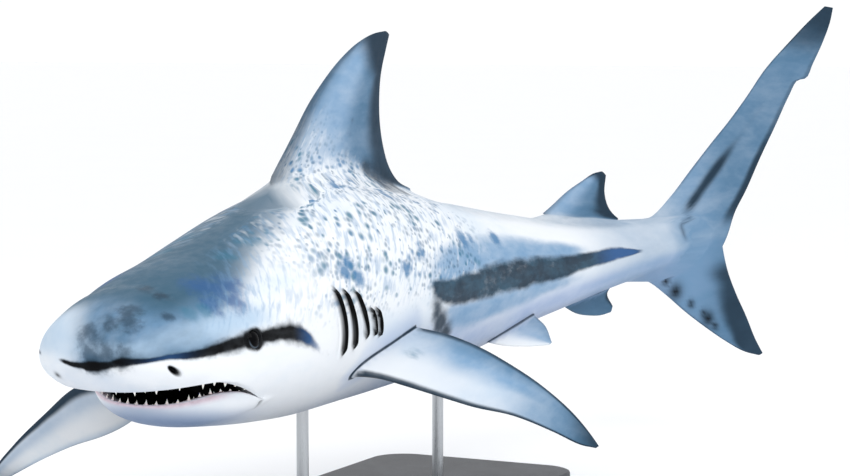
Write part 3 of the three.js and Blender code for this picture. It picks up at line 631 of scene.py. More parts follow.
def signed_volume(vertices, triangles):
    """Sum of a . (b x c) / 6 over the triangles: above zero where the faces point out."""
    a, b, c = (vertices[triangles[:, k]] for k in range(3))
    return np.einsum("ij,ij->i", a, np.cross(b, c)).sum() / 6


def set_values(mesh, key, values):
    """Writes a point attribute, of one number a point or of three."""
    values = np.asarray(values, np.float32)
    kind, slot = ("FLOAT_VECTOR", "vector") if values.ndim > 1 else ("FLOAT", "value")
    attribute = mesh.attributes.get(key) or mesh.attributes.new(key, kind, "POINT")
    attribute.data.foreach_set(slot, values.ravel())


def new_mesh(name, vertices, quads, triangles, values):
    """A mesh from whole arrays, turned so that its faces point out, with its attributes."""
    split = np.concatenate([quads[:, [0, 1, 2]], quads[:, [0, 2, 3]], triangles])
    if signed_volume(vertices, split) < 0:
        quads, triangles = quads[:, ::-1], triangles[:, ::-1]
    mesh = bpy.data.meshes.new(name)
    mesh.vertices.add(len(vertices))
    mesh.vertices.foreach_set("co", vertices.astype(np.float32).ravel())
    corners = np.concatenate([quads.ravel(), triangles.ravel()]).astype(np.int32)
    sizes = np.concatenate([np.full(len(quads), 4), np.full(len(triangles), 3)])
    mesh.loops.add(len(corners))
    mesh.loops.foreach_set("vertex_index", corners)
    mesh.polygons.add(len(sizes))
    starts = np.concatenate([[0], np.cumsum(sizes)[:-1]]).astype(np.int32)
    mesh.polygons.foreach_set("loop_start", starts)
    mesh.polygons.foreach_set("use_smooth", np.ones(len(sizes), bool))
    for key, value in values.items():
        set_values(mesh, key, value)
    mesh.update(calc_edges=True)
    if mesh.validate():
        raise RuntimeError(f"{name}: the mesh had faults")
    return mesh


def new_object(name, mesh):
    """An object at the origin, in the scene's own collection."""
    thing = bpy.data.objects.new(name, mesh)
    bpy.context.scene.collection.objects.link(thing)
    return thing


def read_values(mesh, key):
    """A point attribute as an array, of one number a point or of three."""
    attribute = mesh.attributes[key]
    slot, wide = ("value", 1) if attribute.data_type == "FLOAT" else ("vector", 3)
    values = np.empty(len(mesh.vertices) * wide, np.float32)
    attribute.data.foreach_get(slot, values)
    return values if wide == 1 else values.reshape(-1, wide)


def read_vertices(mesh):
    """Vertex positions as an array."""
    values = np.empty(len(mesh.vertices) * 3, np.float32)
    mesh.vertices.foreach_get("co", values)
    return values.reshape(-1, 3).astype(float)


def join_shells(body, fins):
    """One closed skin: the fins' shells are added to the body's by a boolean union."""
    for fin in fins:
        step = body.modifiers.new("join", "BOOLEAN")
        step.operation, step.solver, step.object = "UNION", "MANIFOLD", fin
    graph = bpy.context.evaluated_depsgraph_get()
    joined = bpy.data.meshes.new_from_object(body.evaluated_get(graph))
    body.modifiers.clear()
    old, body.data = body.data, joined
    bpy.data.meshes.remove(old)
    for fin in fins:
        mesh = fin.data
        bpy.data.objects.remove(fin)
        bpy.data.meshes.remove(mesh)
    joined.name = body.name


def read_edges(mesh):
    """The two ends of every edge."""
    ends = np.empty(len(mesh.edges) * 2, np.int32)
    mesh.edges.foreach_get("vertices", ends)
    return ends.reshape(-1, 2).T


def neighbour_sum(a, b, pull, values):
    """For each point, the sum over its edges of pull times the value at the other end."""
    count = len(values)
    return np.bincount(b, pull * values[a], count) + np.bincount(a, pull * values[b], count)


def mend_values(mesh, a, b, keys):
    """The corners that the union adds carry no values: each takes its neighbours' mean, weighed by
    1 / distance, round after round. Returns every value by its key, and which corners were mended."""
    points = read_vertices(mesh)
    columns = [read_values(mesh, key).reshape(len(points), -1) for key in keys]
    table = np.concatenate(columns, 1).astype(float)
    known = np.abs(table[:, :3]).sum(1) > 0
    joined = ~known
    pull = 1 / (np.linalg.norm(points[a] - points[b], axis=1) + 1e-6)
    for _ in range(MEND_ROUNDS):
        whole = neighbour_sum(a, b, pull, known)
        fresh = ~known & (whole > 0)
        for column in table.T:
            total = neighbour_sum(a, b, pull, known * column)
            column[fresh] = total[fresh] / whole[fresh]
        known |= fresh
    cuts = np.cumsum([column.shape[1] for column in columns])[:-1]
    values = {key: part if part.shape[1] > 1 else part[:, 0]
              for key, part in zip(keys, np.split(table, cuts, 1))}
    for key, value in values.items():
        set_values(mesh, key, value)
    return values, joined


def crease_distances(mesh, members, a, b, joined):
    """For every fin, how far each point is from the line where that fin leaves the body, in mm. Corners
    on that line that belong to no fin take the name of the next ones along it. The distance runs along
    the edges, round after round, and far points keep a large number."""
    points = read_vertices(mesh)
    seed = np.where(joined & (members.max(0) > 1e-6), members.argmax(0) + 1, 0)
    on_line = joined[a] & joined[b]
    first, second = a[on_line], b[on_line]
    for _ in range(NAME_ROUNDS):
        for start, end in ((first, second), (second, first)):
            unnamed = seed[end] == 0
            np.maximum.at(seed, end[unnamed], seed[start[unnamed]])
    length = np.linalg.norm(points[a] - points[b], axis=1) / MM
    distances = np.where(seed == np.arange(1, len(members) + 1)[:, None], 0.0, FAR)
    for distance in distances:
        for _ in range(REACH_ROUNDS):
            np.minimum.at(distance, b, distance[a] + length)
            np.minimum.at(distance, a, distance[b] + length)
    return distances


def even_out(values, a, b, rounds):
    """Each point's value moved halfway to its neighbours' mean, round after round."""
    whole = np.maximum(neighbour_sum(a, b, 1.0, np.ones(len(values))), 1)
    for _ in range(rounds):
        values = 0.5 * (values + neighbour_sum(a, b, 1.0, values) / whole)
    return values


def fillet(mesh, distances, a, b, widths, rounds):
    """Rounds the creases where fins leave the body: each point within a crease's width moves towards the
    mean of its neighbours, weighed by their distances, by a share that falls from 0.6 on the crease to
    nothing. A width of 0 leaves the crease sharp."""
    points = read_vertices(mesh)
    widths = np.array(widths, float)[:, None]
    share = 1 - smooth(distances / np.maximum(widths, 1), 0.1, 1.0)
    weight = (0.6 * (widths > 0) * share).max(0)
    keep = (weight[a] > 0) | (weight[b] > 0)
    a, b = a[keep], b[keep]
    pull = np.linalg.norm(points[a] - points[b], axis=1) / MM + 1.0
    whole = np.maximum(neighbour_sum(a, b, pull, np.ones(len(points))), 1e-6)[:, None]
    for _ in range(rounds):
        total = np.stack([neighbour_sum(a, b, pull, column) for column in points.T], -1)
        points = points + (total / whole - points) * weight[:, None]
    mesh.vertices.foreach_set("co", points.astype(np.float32).ravel())
    mesh.update()


# ---- markings, painted shade and painted highlight
# Stripes, in mm: where they run, their middle and their half width. The head band and the light line
# over it run by left + along, round the snout from just right of its middle; the others run along
HEAD_BAND = [(-60, -29, 2), (-44, -32, 3.2), (-27, -35.5, 4), (-9, -36.5, 5.5), (6, -37, 8),
             (28, -36.5, 8.5), (50, -32.5, 6.5), (72, -28, 9), (92, -27.5, 6.0), (129, -25.5, 2.8),
             (173, -22, 3.4), (218, -23, 5.3), (267, -22, 7), (311, -19, 9), (356, -15, 11),
             (376, -13.5, 11), (443, -11, 10), (487, -11, 11), (515, -12.5, 14), (551, -19.5, 13),
             (577, -31, 10), (599, -44.5, 8), (618, -58, 6)]
FLANK_BAND = [(826, 13, 9), (856, 10, 18), (900, 4, 22), (953, -2, 27), (1019, 0, 28), (1108, 3, 30),
              (1213, 6, 32), (1301, 5, 30), (1411, 3, 25), (1497, 5, 20), (1590, 10, 16),
              (1657, 14, 15), (1694, 15, 12), (1756, 14, 4)]
UNDER_LINE = [(850, -44, 30), (1019, -50, 36), (1213, -40, 30), (1411, -26, 22), (1600, -14, 15)]
HAZE_LINE = [(800, 30, 30), (963, 48, 34), (1063, 54, 36), (1250, 50, 30), (1411, 36, 22),
             (1600, 24, 12)]
GLOW_LINE = [(90, -9, 9), (129, -4, 14), (190, 4, 18), (250, 8, 22), (311, 14, 20), (376, 20, 22),
             (430, 22, 18)]
# where the head's blue ends: height, along
HEAD_END = [(-30, 170), (0, 190), (31, 214), (66, 288), (92, 340), (119, 395), (145, 470), (175, 550)]
# Soft spots, each a ball about a place: along, left, height, reach. Those in ONE_SIDED stand where left
# says, and all others on both sides
SPOTS = {
    "blotch": [(2, 14, -20, 26), (3, 36, -20, 24), (14, 62, -20, 20), (56, 44, 42, 21),
               (38, 58, 32, 20), (30, 34, 30, 18), (134, 28, 71, 15), (129, 64, 62, 14),
               (16, 2, 12, 18), (92, 96, 36, 10)],
    "pore": [(23, -63, -56, 6)],
    "bruise": [(204, 89, 71, 30), (187, 117, 47, 24), (251, 111, 68, 30), (237, 133, 46, 24),
               (228, 100, 62, 28)],
    "teal_patch": [(135, 109, 37, 18), (165, 118, 38, 16), (400, 60, 118, 26), (330, 60, 100, 24),
                   (682, 227, -86, 12), (700, 229, -89, 12), (727, 232, -93, 14), (773, 285, -88, 16)],
    "spot": [(1045, 144, 90, 22), (1085, 140, 88, 14), (1199, 122, 79, 20), (832, 174, 81, 18),
             (749, 186, 55, 15), (542, 171, 68, 18), (575, 178, 58, 20), (560, 170, 84, 18),
             (718, 37, 205, 15), (617, 47, 188, 14), (870, 80, 178, 17), (885, 50, 190, 15)],
    "smudge": [(872, 188, -26, 28), (896, 182, -56, 31), (930, 173, -82, 29), (800, 192, -70, 15),
               (850, 192, -78, 18)],
    "dorsal_smudge": [(918, 8, 214, 26), (950, 10, 200, 34), (985, 8, 200, 30), (1012, 12, 186, 22)],
    "ink": [(1924, 8, -87, 19), (2024, 8, -153, 17), (2010, 8, -141, 10), (1971, 8, -117, 10),
            (2045, 8, -171, 10), (1892, 10, -62, 11)],
}
ONE_SIDED = ("blotch", "pore")
DORSAL_BLOTS = [(846, 10, 225, 15), (855, 8, 291, 9), (869, 8, 312, 8), (838, 10, 250, 10)]
# the inner edge of the dark on the tail's lower lobe: span, chord
LOBE_EDGE = [(0.04, 0.89), (0.22, 0.73), (0.34, 0.72), (0.45, 0.62), (0.61, 0.45), (0.74, 0.30),
             (0.9, -0.1)]
# every fin: how far from its root its own colours come in, and how wide the root is rounded, in mm. At 0
# the crease stays sharp, with a painted line of shade along it
FINS = {"first_dorsal": (60, 64), "second_dorsal": (14, 18), "anal": (12, 0), "pectoral_left": (16, 0),
        "pectoral_right": (16, 0), "pelvic_left": (12, 0), "pelvic_right": (12, 0), "tail": (30, 44)}
CREASE_REACH = 60


def stripe(along, height, knots, inner, outer):
    """1 - smoothstep of |height - middle| / half, both read off the knots (along, middle, half)."""
    knots = np.array(knots, float)
    middle, half = (np.interp(along, knots[:, 0], knots[:, k]) for k in (1, 2))
    return 1 - smooth(np.abs(height - middle) / half, inner, outer)


def spots(along, left, height, places):
    """The greatest of exp(-(distance / reach)^2) over the places."""
    found = [bell(np.sqrt((along - a) ** 2 + (left - b) ** 2 + (height - h) ** 2), 0, reach)
             for a, b, h, reach in places]
    return np.max(found, 0)


def section_levels(along):
    """Top, bottom and widest line of the body's sections."""
    reach = np.sqrt(np.clip(along, 0, BODY_END))
    return tuple(section_curves[k](reach) for k in (0, 1, 3))


def unrolled(straight):
    """The skin laid flat, in metres, so that strokes keep their shape round the body: along, 0.1 m to
    either side of the ridge, and -0.18 m times (angle from the back - 0.35 of its sine), which draws the
    strokes out across the back. The height over the back is added on the fins."""
    along, left, height = straight.T
    top, _, widest = section_levels(along)
    angle = np.arctan2(np.abs(left), height - widest)
    down = np.maximum(height - top, 0) * MM - 0.18 * (angle - 0.35 * np.sin(angle))
    return np.stack([along * MM, 0.1 * np.tanh(left / 15), down], -1)


def body_marks(along, left, height):
    """Masks of the body's own markings and of its painted shade and highlight, each a product of soft
    steps and bells over the straight space in mm. Above and below tell how far a point is from the
    widest line to the back or the belly."""
    top, bottom, widest = section_levels(along)
    above = np.clip((height - widest) / np.maximum(top - widest, 1), 0, 1.2)
    below = np.clip((widest - height) / np.maximum(widest - bottom, 1), 0, 1.2)
    over = 1 - smooth(height - top, 4, 60)
    near = np.abs(left)
    marks = {name: spots(along, left if name in ONE_SIDED else near, height, places)
             for name, places in SPOTS.items()}

    # the head band runs from just right of the snout's middle round the left; the right one starts later
    run = left + np.sign(left) * along
    starts = np.where(run < -70, smooth(-run, 110, 150), smooth(run, -62, -36))
    run = np.where(run < -70, -run, run)
    starts = starts * (1 - 0.8 * smooth(run, 560, 618)) * (run < 640) * (height < 40)
    eye = np.hypot((along - EYE_AT[0] - 1) / 29, (height - EYE_AT[1]) / 19.5)
    eye = (1 - smooth(eye, 0.72, 1.22)) * (near > 110) * (along < 300)
    marks["soft_band"] = starts * stripe(run, height, HEAD_BAND, 0.0, 2.3)
    marks["head_band"] = np.maximum(starts * stripe(run, height, HEAD_BAND, 0.35, 1.5), eye)
    ends = smooth(along + 0.4 * height, 835, 880) * (1 - smooth(along, 1735, 1790))
    marks["band"] = ends * stripe(along, height, FLANK_BAND, 0.5, 1.35)
    blue_run = np.maximum(smooth(run, 520, 600), 0.5 * bell(run, 172, 48)) * (along < 640)
    marks["band_blue"] = np.maximum(marks["band"] * smooth(along, 1560, 1680), blue_run)

    # the blue of the head, ending in a slant behind the eye, with painted shade on the crown and along
    # the back's top line
    edge = np.interp(height, *np.array(HEAD_END, float).T)
    floor = np.interp(run, *np.array(HEAD_BAND, float).T[:2])
    # a painted highlight on the front of the snout, on its right side: the head's blue is left off there
    # and pale laid on
    nose_highlight = smooth(-left - 0.55 * along, -30, 62) * (1 - smooth(along, 60, 150))
    back = (1 - smooth(along - edge, -80, 60)) * smooth(height - floor, -9, 4)
    marks["back"] = back * (1 - nose_highlight) * over
    # the crown: the back's own darker tone with painted shade over it, stronger on the right, far side
    crown = smooth(above - 0.0012 * left - 0.24 * smooth(along, 180, 420), 0.44, 0.78)
    marks["crown"] = crown * smooth(along, 40, 120) * (1 - smooth(along + 1.2 * left, 480, 660)) * over
    # painted shade along the back's top line, behind the first dorsal
    marks["ridge"] = smooth(above, 0.80, 1.0) * smooth(along, 1000, 1200) * over
    glow = stripe(run, height, GLOW_LINE, 0.1, 1.7) * (0.5 + 0.5 * smooth(along, 60, 180))
    glow = glow * (1 - smooth(along, 240, 340))
    marks["glow"] = np.maximum(glow, 0.85 * nose_highlight * smooth(height, -40, -10))

    # the haze round the flank band, and the drops and strokes over the shoulders
    haze = stripe(along, height, HAZE_LINE, 0.3, 1.5) * between(along, 780, 960, 1480, 1620)
    under = stripe(along, height, UNDER_LINE, 0.2, 1.3) * between(along, 860, 960, 1380, 1600)
    marks["haze"] = np.maximum(haze, 0.95 * under)
    cheek = bell(along, 415, 70) * bell(height, 62, 52)
    aside = np.maximum(smooth(near, 14, 48), smooth(along, 560, 640))
    shoulder = between(along, 330, 450, 1000, 1200) * smooth(height, -30, 40)
    marks["speckle"] = shoulder * aside * (1 - 0.85 * cheek)
    stroke = smooth(along - edge, -120, 10) * (1 - smooth(along, 950, 1200)) * smooth(height, -20, 40)
    marks["stroke"] = stroke * aside * (1 - 0.6 * cheek)

    # painted shade low on the flanks, and darker along the belly and under the jaw
    flank = (0.1 + 0.9 * smooth(along, 560, 980)) * smooth(below, 0.05, 0.5)
    throat = smooth(below, 0.5, 1) * smooth(along, 100, 200) * (1 - 0.6 * bell(along, 420, 110))
    marks["shade"] = np.maximum(flank, 0.5 * throat)
    keel = 0.15 + 1.35 * bell(along, 200, 110) + 0.85 * smooth(along, 450, 900)
    marks["keel"] = smooth(below, 0.58, 0.95) * keel
    return marks


def fin_marks(along, left, height, is_fin, crease, chord, span):
    """Masks of the fins: sky blue ground, steel blue over it and the dark margins, which on the right
    pectoral also carry the painted shadow of the snout. Chord runs from the front margin to the rear one
    and span from the root to the tip, each 0 to 1."""
    ground, blue, dusk = (np.zeros(len(along)) for _ in range(3))

    def add(name, *values):
        member = is_fin[name] * smooth(crease[name], 3, FINS[name][0]) if name else 1.0
        for mask, value in zip((ground, blue, dusk), values):
            mask[:] = np.maximum(mask, member * value)

    front = 1 - smooth(chord, 0.0, 0.10)
    rise = 0.96 * smooth(span + 0.38 * chord, 0.06, 0.52)
    steel = np.maximum(smooth(chord, 0.30, 0.62), 0.5 * (1 - smooth(chord, 0.03, 0.18)))
    rear = 0.85 * smooth(chord, 0.60, 0.90) * smooth(span, 0.06, 0.26)
    tip = smooth(span + 0.10 * chord, 0.74, 0.94)
    lead = 0.62 * front * smooth(span, 0.03, 0.14)
    blots = 0.5 * spots(along, np.abs(left), height, DORSAL_BLOTS)
    add("first_dorsal", rise, rise * steel, np.max([rear, tip, lead, blots], 0))

    dark = smooth(chord, 0.45, 0.85) * smooth(span, 0.1, 0.3) + smooth(span, 0.75, 0.95) + 0.5 * front
    dark = np.maximum(dark, bell(chord, 0.75, 0.16) * bell(span, 0.36, 0.12))
    add("second_dorsal", smooth(span, 0.0, 0.25), smooth(chord, 0.1, 0.5), dark)
    add("anal", 1.0, 0.9, 0.35 + 0.6 * smooth(chord, 0.7, 1.0))

    tip = smooth(span + 0.06 * chord, 0.80, 1.04)
    dark = 0.95 * (1 - smooth(chord, 0.0, 0.06)) + 0.8 * smooth(chord, 0.86, 0.98) + 0.8 * tip
    pale = 0.35 + 0.65 * np.maximum(smooth(chord, 0.20, 0.60), smooth(span, 0.45, 0.85))
    rear = 0.8 * smooth(chord, 0.55, 0.95) * smooth(span, 0.15, 0.6)
    add("pectoral_left", pale * (0.25 + 0.75 * smooth(span, 0.12, 0.5)),
        np.maximum(rear, smooth(span, 0.55, 0.95)), dark)
    # the right pectoral's dark front margin widens towards the root, where it is the snout's painted
    # shadow
    dark = 1 - smooth(chord, 0.06 - 0.05 * span, 0.30 - 0.20 * span)
    add("pectoral_right", np.maximum(0.6 * bell(chord, 0.22, 0.22), 0.5 * smooth(chord, 0.8, 1.0)),
        0.6 * tip, dark + 0.5 * smooth(chord, 0.96, 1.0) + 0.6 * tip)
    for name in ("pelvic_left", "pelvic_right"):
        add(name, 0.9 * smooth(chord, 0.1, 0.5), 0.4 * smooth(chord, 0.5, 0.9),
            0.5 * smooth(chord, 0.9, 1.0))

    # the tail's colours run on over the end of the body; its streak runs up and back at 45 degrees
    tail = smooth(along + 0.3 * np.abs(height - 10), 1800, 1990)
    tail = np.maximum(tail, 0.5 * smooth(along, 1500, 1780))
    upper, lower = smooth(height, 30, 90), 1 - smooth(height, -60, 0)
    run, off = (((along - 1945) + sign * (height - 83)) / np.sqrt(2) for sign in (1, -1))
    streak = bell(off, 0, 14 - 5 * smooth(run, 120, 280)) * smooth(run, -20, 40)
    streak = streak * (1 - 0.85 * smooth(run, 140, 250)) * (run < 330)
    dark = streak + upper * (0.5 * (1 - smooth(chord, 0, 0.04)) + 0.9 * smooth(span, 0.72, 0.96))
    inner = np.interp(span, *np.array(LOBE_EDGE).T)
    lobe = 0.85 * smooth(chord - inner, -0.14, 0.24) + 0.5 * (1 - smooth(chord, 0, 0.06))
    rear = mix(0.9, 0.45, smooth(span, 0.3, 0.6)) * smooth(chord, 0.84, 0.95)
    dark = np.max([dark, lower * lobe, upper * rear], 0) * smooth(along, 1880, 1960)
    faint = 0.55 * bell(along, 1943, 13) * between(height, 12, 40, 60, 110)
    add("tail", 0.0, 0.0, dark)
    add("", tail, tail * (0.35 + 0.5 * smooth(along + 0.25 * np.abs(height - 20), 1980, 2130)), faint)
    return {"fin": np.clip(ground, 0, 1), "blue": np.clip(blue, 0, 1), "dusk": np.clip(dusk, 0, 1)}


def markings(straight, is_fin, crease, chord, span):
    """Every mask of the skin, 0 to 1 at each point, from the straight space in mm and, on a fin, from
    the chord and the span. The paired fins carry none of the body's bands, drops and shade."""
    along, left, height = straight.T
    dorsal = is_fin["first_dorsal"]
    paired = 1 - np.max([member * smooth(crease[name], 3, 14) for name, member in is_fin.items()
                         if name.startswith("p")], 0)
    marks = body_marks(along, left, height)
    # painted shade on the body round the roots of the pectoral fins
    pectoral_shade = 1 - smooth(np.minimum(crease["pectoral_left"], crease["pectoral_right"]), 8, 58)
    marks["shade"] = np.maximum(marks["shade"], 0.7 * pectoral_shade * smooth(along, 380, 520))
    for key in ("spot", "shade", "keel", "smudge", "band", "haze", "speckle", "stroke"):
        marks[key] *= paired
    up_the_fin = smooth(span + 0.3 * chord, 0.22, 0.62) * smooth(crease["first_dorsal"], 3, 60)
    for key in ("speckle", "stroke"):
        marks[key] *= 1 - dorsal * up_the_fin
    # the crown's teal grey and painted shade run on over the front of the first dorsal's foot
    foot = (1 - smooth(chord, 0.0, 0.16)) * (1 - smooth(span, 0.10, 0.45))
    marks["crown"] = np.maximum(marks["crown"], 0.45 * dorsal * foot)
    marks["ink"] *= is_fin["tail"]
    marks.update(fin_marks(along, left, height, is_fin, crease, chord, span))
    return marks


# ---- shader building
# how the strokes lean back, in radians, and how wide the painted line of shade along a sharp crease is,
# in metres
STROKE_LEAN, CREASE_SHADE_WIDTH = -0.5, (0.0020, 0.0062)


def linear(red, green, blue):
    """A colour as seen (0 to 1) to the shader's own scale: about its 2.2nd power."""
    return tuple(c / 12.92 if c <= 0.04045 else ((c + 0.055) / 1.055) ** 2.4
                 for c in (red, green, blue)) + (1.0,)


class Graph:
    """A node tree with short calls: every call adds a node, and a socket passed as a value is linked."""

    def __init__(self, tree):
        self.tree = tree

    def set(self, socket, value):
        if isinstance(value, bpy.types.NodeSocket):
            self.tree.links.new(value, socket)
        else:
            socket.default_value = value

    def node(self, kind, inputs=(), **settings):
        node = self.tree.nodes.new(kind)
        for key, value in settings.items():
            setattr(node, key, value)
        for key, value in dict(inputs).items():
            self.set(node.inputs[key], value)
        return node

    def math(self, operation, a, b):
        return self.node("ShaderNodeMath", {0: a, 1: b}, operation=operation).outputs[0]

    def times(self, *values):
        product = values[0]
        for value in values[1:]:
            product = self.math("MULTIPLY", product, value)
        return product

    def attribute(self, name, output="Fac"):
        return self.node("ShaderNodeAttribute", attribute_name=name).outputs[output]

    def mapping(self, vector, **settings):
        return self.node("ShaderNodeMapping", {"Vector": vector, **settings}).outputs[0]

    def noise(self, vector, scale, detail=3.0, rough=0.55, distortion=0.0):
        inputs = {"Vector": vector, "Scale": scale, "Detail": detail, "Roughness": rough}
        inputs["Distortion"] = distortion
        return self.node("ShaderNodeTexNoise", inputs).outputs["Fac"]

    def cells(self, vector, scale):
        return self.node("ShaderNodeTexVoronoi", {"Vector": vector, "Scale": scale}).outputs["Distance"]

    def range(self, value, low, high, start=0.0, end=1.0, kind="SMOOTHSTEP"):
        inputs = {"Value": value, "From Min": low, "From Max": high, "To Min": start, "To Max": end}
        return self.node("ShaderNodeMapRange", inputs, interpolation_type=kind).outputs["Result"]

    def mix(self, factor, a, b):
        node = self.node("ShaderNodeMix", {0: factor}, data_type="RGBA")
        self.set(node.inputs[6], a)
        self.set(node.inputs[7], b)
        return node.outputs[2]

    def group(self, tree, **inputs):
        return self.node("ShaderNodeGroup", inputs, node_tree=tree).outputs[0]


def new_group(name, output, **inputs):
    """An empty shader group that puts out one number. An input is a number where its default is one, and
    otherwise a vector. Returns its graph, its inputs and its output."""
    tree = bpy.data.node_groups.new(name, "ShaderNodeTree")
    for label, default in inputs.items():
        kind = "NodeSocketFloat" if isinstance(default, float) else "NodeSocketVector"
        socket = tree.interface.new_socket(label, in_out="INPUT", socket_type=kind)
        if default is not None:
            socket.default_value = default
    tree.interface.new_socket(output, in_out="OUTPUT", socket_type="NodeSocketFloat")
    graph = Graph(tree)
    return graph, graph.node("NodeGroupInput").outputs, graph.node("NodeGroupOutput").inputs[0]


def broken_edge_group():
    """A soft mask whose edge is broken by noise: smoothstep of mask + (noise - 0.5) times the breakup,
    where there is a mask at all."""
    graph, given, out = new_group("Broken edge", "Factor", Vector=None, Mask=0.0, Scale=30.0,
                                  Breakup=0.6, Softness=0.25)
    noise = graph.noise(given["Vector"], given["Scale"], 4, 0.6)
    shift = graph.times(graph.math("SUBTRACT", noise, 0.5), given["Breakup"])
    inside = graph.range(given["Mask"], 0.0, 0.3)
    value = graph.math("ADD", given["Mask"], graph.times(shift, inside))
    low, high = (graph.math(way, 0.5, given["Softness"]) for way in ("SUBTRACT", "ADD"))
    graph.set(out, graph.range(value, low, high))
    return graph.tree


def mottle_group():
    """Cloudy patches: two noises added by 2 to 1, spread over the whole range."""
    graph, given, out = new_group("Mottle", "Factor", Vector=None, Scale=20.0, Low=0.35, High=0.65)
    coarse = graph.noise(given["Vector"], given["Scale"], distortion=0.4)
    fine = graph.noise(given["Vector"], graph.times(given["Scale"], 3.7), 3, 0.6)
    both = graph.math("ADD", graph.times(coarse, 0.68), graph.times(fine, 0.32))
    graph.set(out, graph.range(both, given["Low"], given["High"]))
    return graph.tree


def lean_back(graph, vector, stretch):
    """The space turned about its left axis, so that the strokes' own line is upright, and then scaled
    along its axes."""
    return graph.mapping(graph.mapping(vector, Rotation=(0, STROKE_LEAN, 0)), Scale=stretch)


def speck_group():
    """Small soft drops of uneven size: one where the distance to the nearest scattered point is below a
    radius that noise varies, in a space leant back and stretched along the drops."""
    graph, given, out = new_group("Specks", "Factor", Vector=None, Scale=60.0, Size=0.3,
                                  Stretch=(1, 1, 1), Thin=0.4)
    cells = graph.cells(lean_back(graph, given["Vector"], given["Stretch"]), given["Scale"])
    wide = graph.noise(given["Vector"], graph.times(given["Scale"], 0.3), 2, 0.5)
    size = graph.times(given["Size"], graph.range(wide, given["Thin"], 0.64, 0.0, 1.5))
    graph.set(out, graph.range(cells, graph.times(size, 0.2), size, 1.0, 0.0))
    return graph.tree


def stroke_group():
    """Fine strokes that lean back: noise squeezed across them, cut off below a level."""
    graph, given, out = new_group("Strokes", "Factor", Vector=None, Scale=60.0, Low=0.52, High=0.66)
    noise = graph.noise(lean_back(graph, given["Vector"], (1.0, 1.0, 0.26)), given["Scale"], 2, 0.5)
    graph.set(out, graph.range(noise, given["Low"], given["High"]))
    return graph.tree


def denticle_group():
    """The skin's grain: tiny close scales over a faint unevenness, as a height."""
    graph, given, out = new_group("Denticles", "Height", Vector=None, Scale=900.0)
    cells = graph.cells(given["Vector"], given["Scale"])
    uneven = graph.noise(given["Vector"], graph.times(given["Scale"], 0.06), 3, 0.5)
    graph.set(out, graph.math("ADD", graph.times(cells, 0.35), uneven))
    return graph.tree


def new_material(name, roughness, **constants):
    """A material with its own Principled shader, whose constants are set on its sockets."""
    material = bpy.data.materials.new(name)
    material.use_nodes = True
    shader = material.node_tree.nodes["Principled BSDF"]
    for key, value in {"Roughness": roughness, **constants}.items():
        shader.inputs[key.replace("_", " ")].default_value = value
    return material, Graph(material.node_tree), shader


def bump(graph, shader, height, strength, distance):
    """Feeds a height to the shader's normal."""
    node = graph.node("ShaderNodeBump", {"Height": height, "Strength": strength, "Distance": distance})
    graph.set(shader.inputs["Normal"], node.outputs["Normal"])


def uneven_roughness(graph, shader, noise, low, high):
    """Roughness from low to high over the middle of a noise."""
    graph.set(shader.inputs["Roughness"], graph.range(noise, 0.3, 0.7, low, high))


